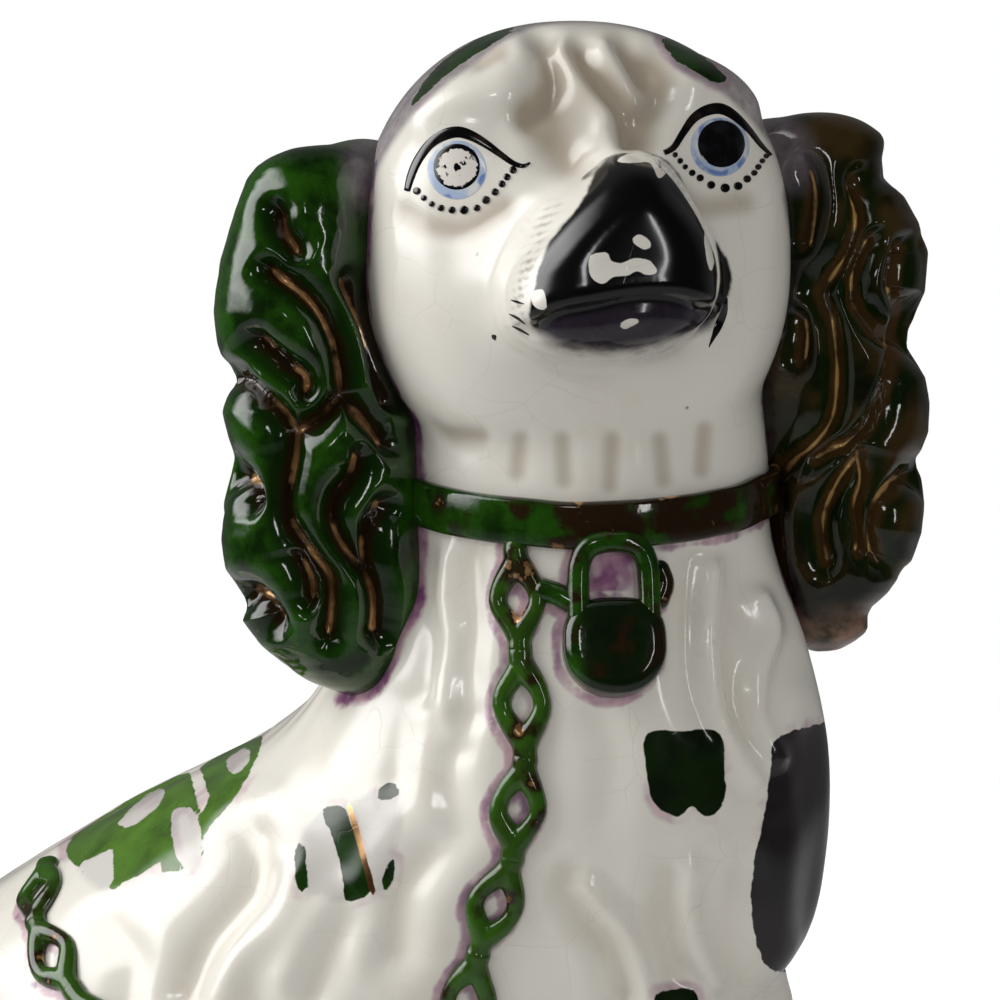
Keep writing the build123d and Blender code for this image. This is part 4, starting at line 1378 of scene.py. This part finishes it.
def enamel_piece(bm, name, material, disc=None):
    """Enamel on the head. A disc is smoothed, and its rim is marked."""
    lay_on_head(bm)
    for _ in range(6 if disc else 0):
        axes = {"use_axis_x": True, "use_axis_y": True, "use_axis_z": True}
        bmesh.ops.smooth_vert(bm, verts=bm.verts, factor=0.5, **axes)
    bmesh.ops.recalc_face_normals(bm, faces=bm.faces)
    mesh = plain_mesh(bm, name)
    if disc:
        from_middle = photo_pixels(mesh_array(mesh, "co")) - disc[:2]
        set_mark(mesh, "rim", np.linalg.norm(from_middle, axis=1) / disc[2])
    finish_piece(mesh, name, material, [])


for eye_name, parts in eyes.items():
    lines = bmesh.new()
    enamel_stroke(lines, parts["lid"], lid_height)
    for dot in parts["dots"]:
        enamel_drop(lines, *dot, dot_height, 20)
    enamel_piece(lines, eye_name + "_lines", eye_black)
    pupil_enamel = eye_worn if eye_name == "right_eye" else eye_pupil
    for part, height, enamel in (("iris", iris_height, eye_blue), ("pupil", pupil_height, pupil_enamel)):
        disc = bmesh.new()
        enamel_drop(disc, *parts[part], height, 48)
        enamel_piece(disc, eye_name + "_" + part, enamel, parts[part])

mouth_strokes = bmesh.new()
for stroke in mouth_marks:
    enamel_stroke(mouth_strokes, stroke, mark_height)
enamel_piece(mouth_strokes, "mouth_strokes", eye_black)


# Collar
def shape_collar():
    """A band round the neck that hangs a little in front and waves by hand."""
    bm = bmesh.new()
    rings = []
    for rise, outset in collar_profile:
        centre = np.array([neck_x, 0, joint_height + rise])
        sizes = (neck_half_length + outset, neck_half_depth + outset)
        rings.append(ring(bm, centre, level_axes, sizes, 160))
    bridge(bm, rings, closed=True)
    for vert in bm.verts:
        out = unit(np.array([vert.co.x - neck_x, vert.co.y, 0.0]))
        ahead = max(-(out @ view_level), 0.0)
        wave = noise.noise(Vector((vert.co.x, vert.co.y, 0.0)) / 9.0)
        vert.co.z += 0.6 - 1.6 * ahead ** 2 + 0.35 * wave
    return plain_mesh(bm, "figure_collar")


collar_mesh = shape_collar()
relief_points = [mesh_array(collar_mesh, "co")]
set_mark(collar_mesh, "umber", ease(photo_pixels(relief_points[0])[:, 0], 530, 590))
finish_piece(collar_mesh, "figure_collar", green_band, ["collar"])

# Body as a blank, for the chain and the padlock to lie on
body_mesh, tail_path = shape_body()
body_tree = mesh_tree(body_mesh)


def node_points(name):
    """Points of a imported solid, in millimetres."""
    return mesh_array(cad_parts[name].data, "co") / MM


def lay_on_body(place, normal):
    """The point of the body under a place, looking along the normal."""
    spot, skin_normal, _, _ = body_tree.ray_cast(Vector(place + normal * 12), Vector(-normal), 40)
    if spot is None:
        return place, normal
    return np.array(spot), np.array(skin_normal)


# Chain links: each a pinched ring between two joints, hung where the photograph or the solid has them
def link_ends(number, solid):
    """The two ends and the outward direction of a link."""
    centre = (solid.min(axis=0) + solid.max(axis=0)) / 2
    along, _, normal = np.linalg.svd(solid - solid.mean(axis=0), full_matrices=False)[2]
    if normal @ (centre - np.array([*link_side, centre[2]])) < 0:
        normal = -normal
    span = (solid - centre) @ along
    ends = [centre + along * span.min(), centre + along * span.max()]
    drawn = []
    for pixel in link_joints.get(number, []):
        drawn.append(np.array(body_tree.ray_cast(Vector(view_point), Vector(photo_ray(*pixel)))[0]))
    if len(drawn) == 1:
        drawn.append(ends[np.argmax([np.linalg.norm(end - drawn[0]) for end in ends])])
    return drawn or ends, normal


def shape_link(number, name):
    """Two bowed strands between the ends of a link, with a ball at each end."""
    (start, end), normal = link_ends(number, node_points(name))
    middle = (start + end) / 2
    half_length = np.linalg.norm(end - start) / 2
    along = unit(end - start)
    across = unit(np.cross(normal, along))
    bm = bmesh.new()
    for side in (-1, 1):
        path, facing, radii = [], [], []
        for step in range(link_steps + 1):
            reach = cos(pi * step / link_steps)
            wobble = 1 + 0.16 * noise.noise(Vector((2.3 * number, 1.5 * reach, side)))
            swing = side * link_bow * wobble * max(1 - (reach / link_pinch) ** 2, 0.0) ** 2
            spot, skin_normal = lay_on_body(middle + along * (half_length * reach) + across * swing, normal)
            path.append(spot + skin_normal * 0.5)
            facing.append(skin_normal)
            radii.append((link_radius + 0.5 * ease(abs(reach), 0.1, 0.7)) * wobble)
        tube(bm, path, radii, facing, flat=0.95)
    for place in (path[0], path[-1]):
        ball(bm, place, (along, across, normal), link_ball)
    return remeshed(bm, "figure_" + name, skins["link"])


link_names = sorted(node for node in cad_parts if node.startswith("chain_link"))
for number, name in enumerate(link_names, 1):
    link_mesh = shape_link(number, name)
    relief_points.append(mesh_array(link_mesh, "co"))
    set_mark(link_mesh, "umber", -1.0)
    finish_piece(link_mesh, "figure_" + name, green_band, [name])

# Padlock: body, shackle, hinge lug and tie, pressed in relief on the chest
lock_solid = node_points("padlock_body")
lock_normal = np.linalg.svd(lock_solid - lock_solid.mean(axis=0), full_matrices=False)[2][2]
if lock_normal @ view_forward > 0:
    lock_normal = -lock_normal
lock_right = unit(np.cross(up, lock_normal))
lock_up = np.cross(lock_normal, lock_right)
lock_centre = (lock_solid.min(axis=0) + lock_solid.max(axis=0)) / 2


def lock_place(across, rise, height):
    """A point over the chest, in the padlock's own plane."""
    spot, skin_normal = lay_on_body(lock_centre + lock_right * across + lock_up * rise, lock_normal)
    return spot + lock_normal * height, skin_normal


def shape_lock():
    """Domed body with square shoulders above and a round foot."""
    bm = bmesh.new()
    base = lock_place(0, 0, 0)[0]
    rings = []
    for index, (height, inset) in enumerate(lock_profile):
        end = index in (0, len(lock_profile) - 1)
        made = bmesh.ops.create_circle(bm, cap_ends=end, segments=64, radius=1.0)
        share = 1 - inset / lock_half_width
        for vert in made["verts"]:
            a, b = vert.co.x, vert.co.y
            shoulder = 1 - 0.16 * max(b, 0.0) ** 2
            across = lock_half_width * shoulder * np.sign(a) * abs(a) ** (0.6 if b > 0 else 0.95)
            rise = lock_half_height * (b if b < 0 else b ** 0.6)
            place = base + lock_right * (across * share) + lock_up * (rise * share - lock_drop)
            vert.co = Vector(place + lock_normal * height)
        rings.append(list({edge for vert in made["verts"] for edge in vert.link_edges}))
    bridge(bm, rings)
    return remeshed(bm, "figure_padlock_body", skins["lock"])


def shape_bar(name, places, radius):
    """A round bar on the chest with rounded ends."""
    bm = bmesh.new()
    path, facing = [], []
    for across, rise, height in eased_rows(places, 6):
        spot, skin_normal = lock_place(across, rise, height)
        path.append(spot)
        facing.append(skin_normal)
    tube(bm, path, [radius] * len(path), facing)
    for place in (path[0], path[-1]):
        ball(bm, place, (lock_right, lock_up, lock_normal), (radius,) * 3)
    return remeshed(bm, "figure_" + name, skins["bar"])


lock_meshes = {"padlock_body": shape_lock()}
for name, (places, radius) in lock_bars.items():
    lock_meshes[name] = shape_bar(name, places, radius)
for name, mesh in lock_meshes.items():
    lock_points = mesh_array(mesh, "co")
    relief_points.append(lock_points)
    from_left = (lock_points - lock_centre) @ lock_right + lock_half_width
    # Painted shade on the padlock grows with distance from its left edge
    set_mark(mesh, "padlock_shade", ease(from_left, 1.5, 4.5))
    set_mark(mesh, "umber", 1.0 if name == "padlock_lug" else 0.2)
    enamel = green_lock if name in ("padlock_body", "padlock_lug") else green_band
    finish_piece(mesh, "figure_" + name, enamel, [name])


# Body relief: soft combed fur, folds, toes and the tail's plume
def press_body(mesh):
    """Presses the relief into the body, and marks its hollows."""
    points, normals = mesh_array(mesh, "co"), mesh_array(mesh, "normal")
    pixels = photo_pixels(points)
    x, y, z = points.T
    around = np.arctan2(y, x - coat_middle)
    flow = np.stack([around * coat_waves + z / 60.0, z / 34.0, np.zeros(len(z))], axis=1)
    swirl = cloud(points * np.array([1.0, 1.0, 0.5]), 14.0, 2)
    lift = 0.9 * cloud(flow, 1.0, 1) + 0.6 * swirl
    lift *= ease(z, 16.0, 50.0) * (1 - ease(z, 150.0, 160.0))
    shown = ease(camera_facing(points, normals), 0.05, 0.35)
    lift *= 1 - 0.6 * shown * ease(z, 70.0, 85.0)
    for fold, depth, reach in coat_folds:
        away = line_distance(pixels, fold) * pixel_size
        lift -= shown * depth * (hill(away, reach) - 0.35 * hill(away - 2.2 * reach, reach))
    low = 1 - ease(z, 11.0, 15.0)
    paw = low * ease(x, foreleg_x + 10, foreleg_x + 20)
    foot = low * ease(x, hind_foot_x + 14, hind_foot_x + 22) * (np.abs(y) > 28)
    for side in (-1, 1):
        for gap in (-toe_spacing / 2, toe_spacing / 2):
            lift -= 1.8 * paw * hill(y - side * foreleg_spread - gap, 1.3)
            lift -= 1.6 * foot * hill(y - side * hind_foot_spread - gap, 1.2)
    rising = tail_path[np.argsort(tail_path[:, 2])]
    from_tail_x = x - np.interp(z, rising[:, 2], rising[:, 0])
    from_tail_y = y - np.interp(z, rising[:, 2], rising[:, 1])
    on_tail = 1 - ease(np.hypot(from_tail_x, from_tail_y), 12.0, 16.0)
    on_tail *= ease(z, 4.0, 14.0) * (1 - ease(z, 66.0, 74.0))
    strands = np.sin((from_tail_y - 0.6 * from_tail_x) / 1.9 + 0.9 * np.sin(z / 8.0))
    lift = lift * (1 - on_tail) + 0.8 * on_tail * strands
    set_mark(mesh, "pooled_tan_and_shade", np.clip(-lift / 1.4, 0, 1))
    points = points + normals * lift[:, None]
    points[:, 2] = np.maximum(points[:, 2], 0.0)
    set_points(mesh, points)
    return camera_facing(points, normals)


def mark_spots(mesh, blank_points, points, pixels, facing):
    """Where the spots, their worn places and the copper stroke lie."""
    turned_away = 60.0 * np.clip(-facing, 0.0, 1.0)
    spot = np.full(len(points), far_away)
    tone = np.full(len(points), 0.4)
    for outline, darkness in spot_outlines:
        away = drawn_distance(pixels, outline) * pixel_size + turned_away
        tone = np.where(away < np.minimum(spot, 2.0), darkness, tone)
        spot = np.minimum(spot, away)
    spot = np.minimum(spot, blob_distance(blank_points, hidden_spots) + 6.0 * cloud(points, 11.0, 6))
    worn = np.min([drawn_distance(pixels, outline) for outline in worn_outlines], axis=0)
    worn = np.minimum(worn + 4 * turned_away, 60.0)
    set_mark(mesh, "spot", np.maximum(spot, -worn * pixel_size))
    set_mark(mesh, "tone", tone)
    in_wash = np.where(facing > 0, drawn_distance(pixels, wash_outline), far_away)
    set_mark(mesh, "wash", 1 - ease(np.minimum(in_wash, worn - 3.0), -3.0, 2.0))
    across, down = pixels.T
    stroke = np.array(copper_stroke, float)
    past_end = np.maximum(np.maximum(stroke[0, 1] - down, down - stroke[-1, 1]), 0.0)
    set_mark(mesh, "stroke", (across - np.interp(down, stroke[:, 1], stroke[:, 0])) * pixel_size)
    set_mark(mesh, "stroke_end", past_end * pixel_size + turned_away)


def mark_fringes(mesh, points, pixels, facing):
    """Where the mauve fringes beside the relief, the ears and the shackle lie."""
    relief = np.vstack(relief_points) - view_right * fringe_aside - up * fringe_below
    fringe = nearest_distance(points, relief, 4.0)
    in_shackle = outline_distance(pixels, np.array(shackle_outline, float)) * pixel_size
    in_shackle += np.where(facing > 0, 0.0, far_away)
    strong = np.minimum(ear_distance(points, 4.0) * 0.45, np.maximum(in_shackle + 1.0, 0.0))
    set_mark(mesh, "lustre", np.where(strong < fringe, 1.0, 0.85 - 0.35 * ease(fringe, 0.5, 1.1)))
    set_mark(mesh, "fringe", np.minimum(fringe, strong))


blank_points = mesh_array(body_mesh, "co")
body_facing = press_body(body_mesh)
body_points = mesh_array(body_mesh, "co")
body_pixels = photo_pixels(body_points)
mark_spots(body_mesh, blank_points, body_points, body_pixels, body_facing)
mark_fringes(body_mesh, body_points, body_pixels, body_facing)
finish_piece(body_mesh, "figure_body", cream_body, [
    "front_shell", "rear_shell", "right_foreleg", "left_foreleg", "right_hind_foot", "left_hind_foot",
    "tail",
])

# Base slab keeps its solid and gets bare clay
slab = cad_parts["base_slab"]
slab.data.materials.clear()
slab.data.materials.append(biscuit)

# Floor that fades out to the white backdrop and keeps the shadow
floor_bm = bmesh.new()
bmesh.ops.create_grid(floor_bm, x_segments=1, y_segments=1, size=floor_half)
floor_mesh = plain_mesh(floor_bm, "studio_floor")
floor_material, floor_paint = new_material("pale_floor")
floor_path = floor_paint.node("ShaderNodeLightPath").outputs
floor_away = floor_paint.vector("DISTANCE", floor_paint.place, floor_middle)["Value"]
floor_dim = floor_paint.scaled(floor_path["Is Glossy Ray"], -0.6, 1.0)
floor_paint.finish({
    "Base Color": floor_grey,
    "Roughness": 0.7,
    "Emission Color": white,
    "Emission Strength": floor_paint.times(floor_path["Is Camera Ray"], 0.5),
    "Alpha": floor_paint.times(floor_paint.step(floor_away, *floor_fade), floor_dim),
})
floor_mesh.materials.append(floor_material)
floor = bpy.data.objects.new("studio_floor", floor_mesh)
bpy.context.scene.collection.objects.link(floor)

# World: white to the camera, soft light on surfaces, dim in reflections so that dark glazes stay dark
world = bpy.data.worlds.new("studio_white")
bpy.context.scene.world = world
world.use_nodes = True
sky = Paint(world.node_tree)
sky_path = sky.node("ShaderNodeLightPath").outputs
sky_way = sky.node("ShaderNodeTexCoord").outputs["Generated"]
behind = sky.step(sky.vector("DOT_PRODUCT", sky_way, tuple(view_level))["Value"], 0.0, 0.6)
mirrored = sky.blend(behind, mirrored_front, mirrored_behind)
strength = sky.blend(sky_path["Is Glossy Ray"], sky_light, mirrored)
straight_through = sky.math("MAXIMUM", sky_path["Is Camera Ray"], sky_path["Is Transmission Ray"])
strength = sky.blend(straight_through, strength, 1.0)
sky.feed(world.node_tree.nodes["Background"], {"Color": white, "Strength": strength})


def add_lamp(name, place, size, power, soft_edge):
    """A rectangular lamp, aimed at the head, that fades towards its edges."""
    lamp = bpy.data.lights.new(name, "AREA")
    lamp.shape = "RECTANGLE"
    lamp.size, lamp.size_y = size
    lamp.energy = power
    lamp.use_nodes = True
    glow = Paint(lamp.node_tree)
    place_in_lamp = glow.node("ShaderNodeNewGeometry").outputs["Parametric"]
    sides = glow.node("ShaderNodeSeparateXYZ", {0: place_in_lamp}).outputs
    fade = 1.0
    for side in ("X", "Y"):
        from_middle = glow.math("ABSOLUTE", glow.math("SUBTRACT", sides[side], 0.5))
        fade = glow.times(fade, glow.step(from_middle, 0.5, 0.5 - 0.5 * soft_edge))
    glow.feed(lamp.node_tree.nodes["Emission"], {"Strength": fade})
    holder = bpy.data.objects.new(name, lamp)
    holder.location = place
    holder.rotation_euler = (Vector(lamp_target) - Vector(place)).to_track_quat("-Z", "Y").to_euler()
    bpy.context.scene.collection.objects.link(holder)


add_lamp("key_softbox", (-0.80, -0.36, 0.66), (1.2, 1.4), 25.5, 0.6)
add_lamp("right_strip", (0.80, -0.60, 0.45), (0.08, 0.5), 1.3, 0.3)
add_lamp("front_window", (0.25, -1.1, 0.75), (0.16, 0.2), 1.0, 0.3)

camera_data = bpy.data.cameras.new("photo_camera")
camera_data.lens = view_lens
camera_data.sensor_width = view_sensor
camera = bpy.data.objects.new("photo_camera", camera_data)
camera.location = Vector(view_point) * MM
camera.rotation_euler = Vector(view_forward).to_track_quat("-Z", "Y").to_euler()
bpy.context.scene.collection.objects.link(camera)
bpy.context.scene.camera = camera
bpy.context.scene.view_settings.view_transform = "Standard"
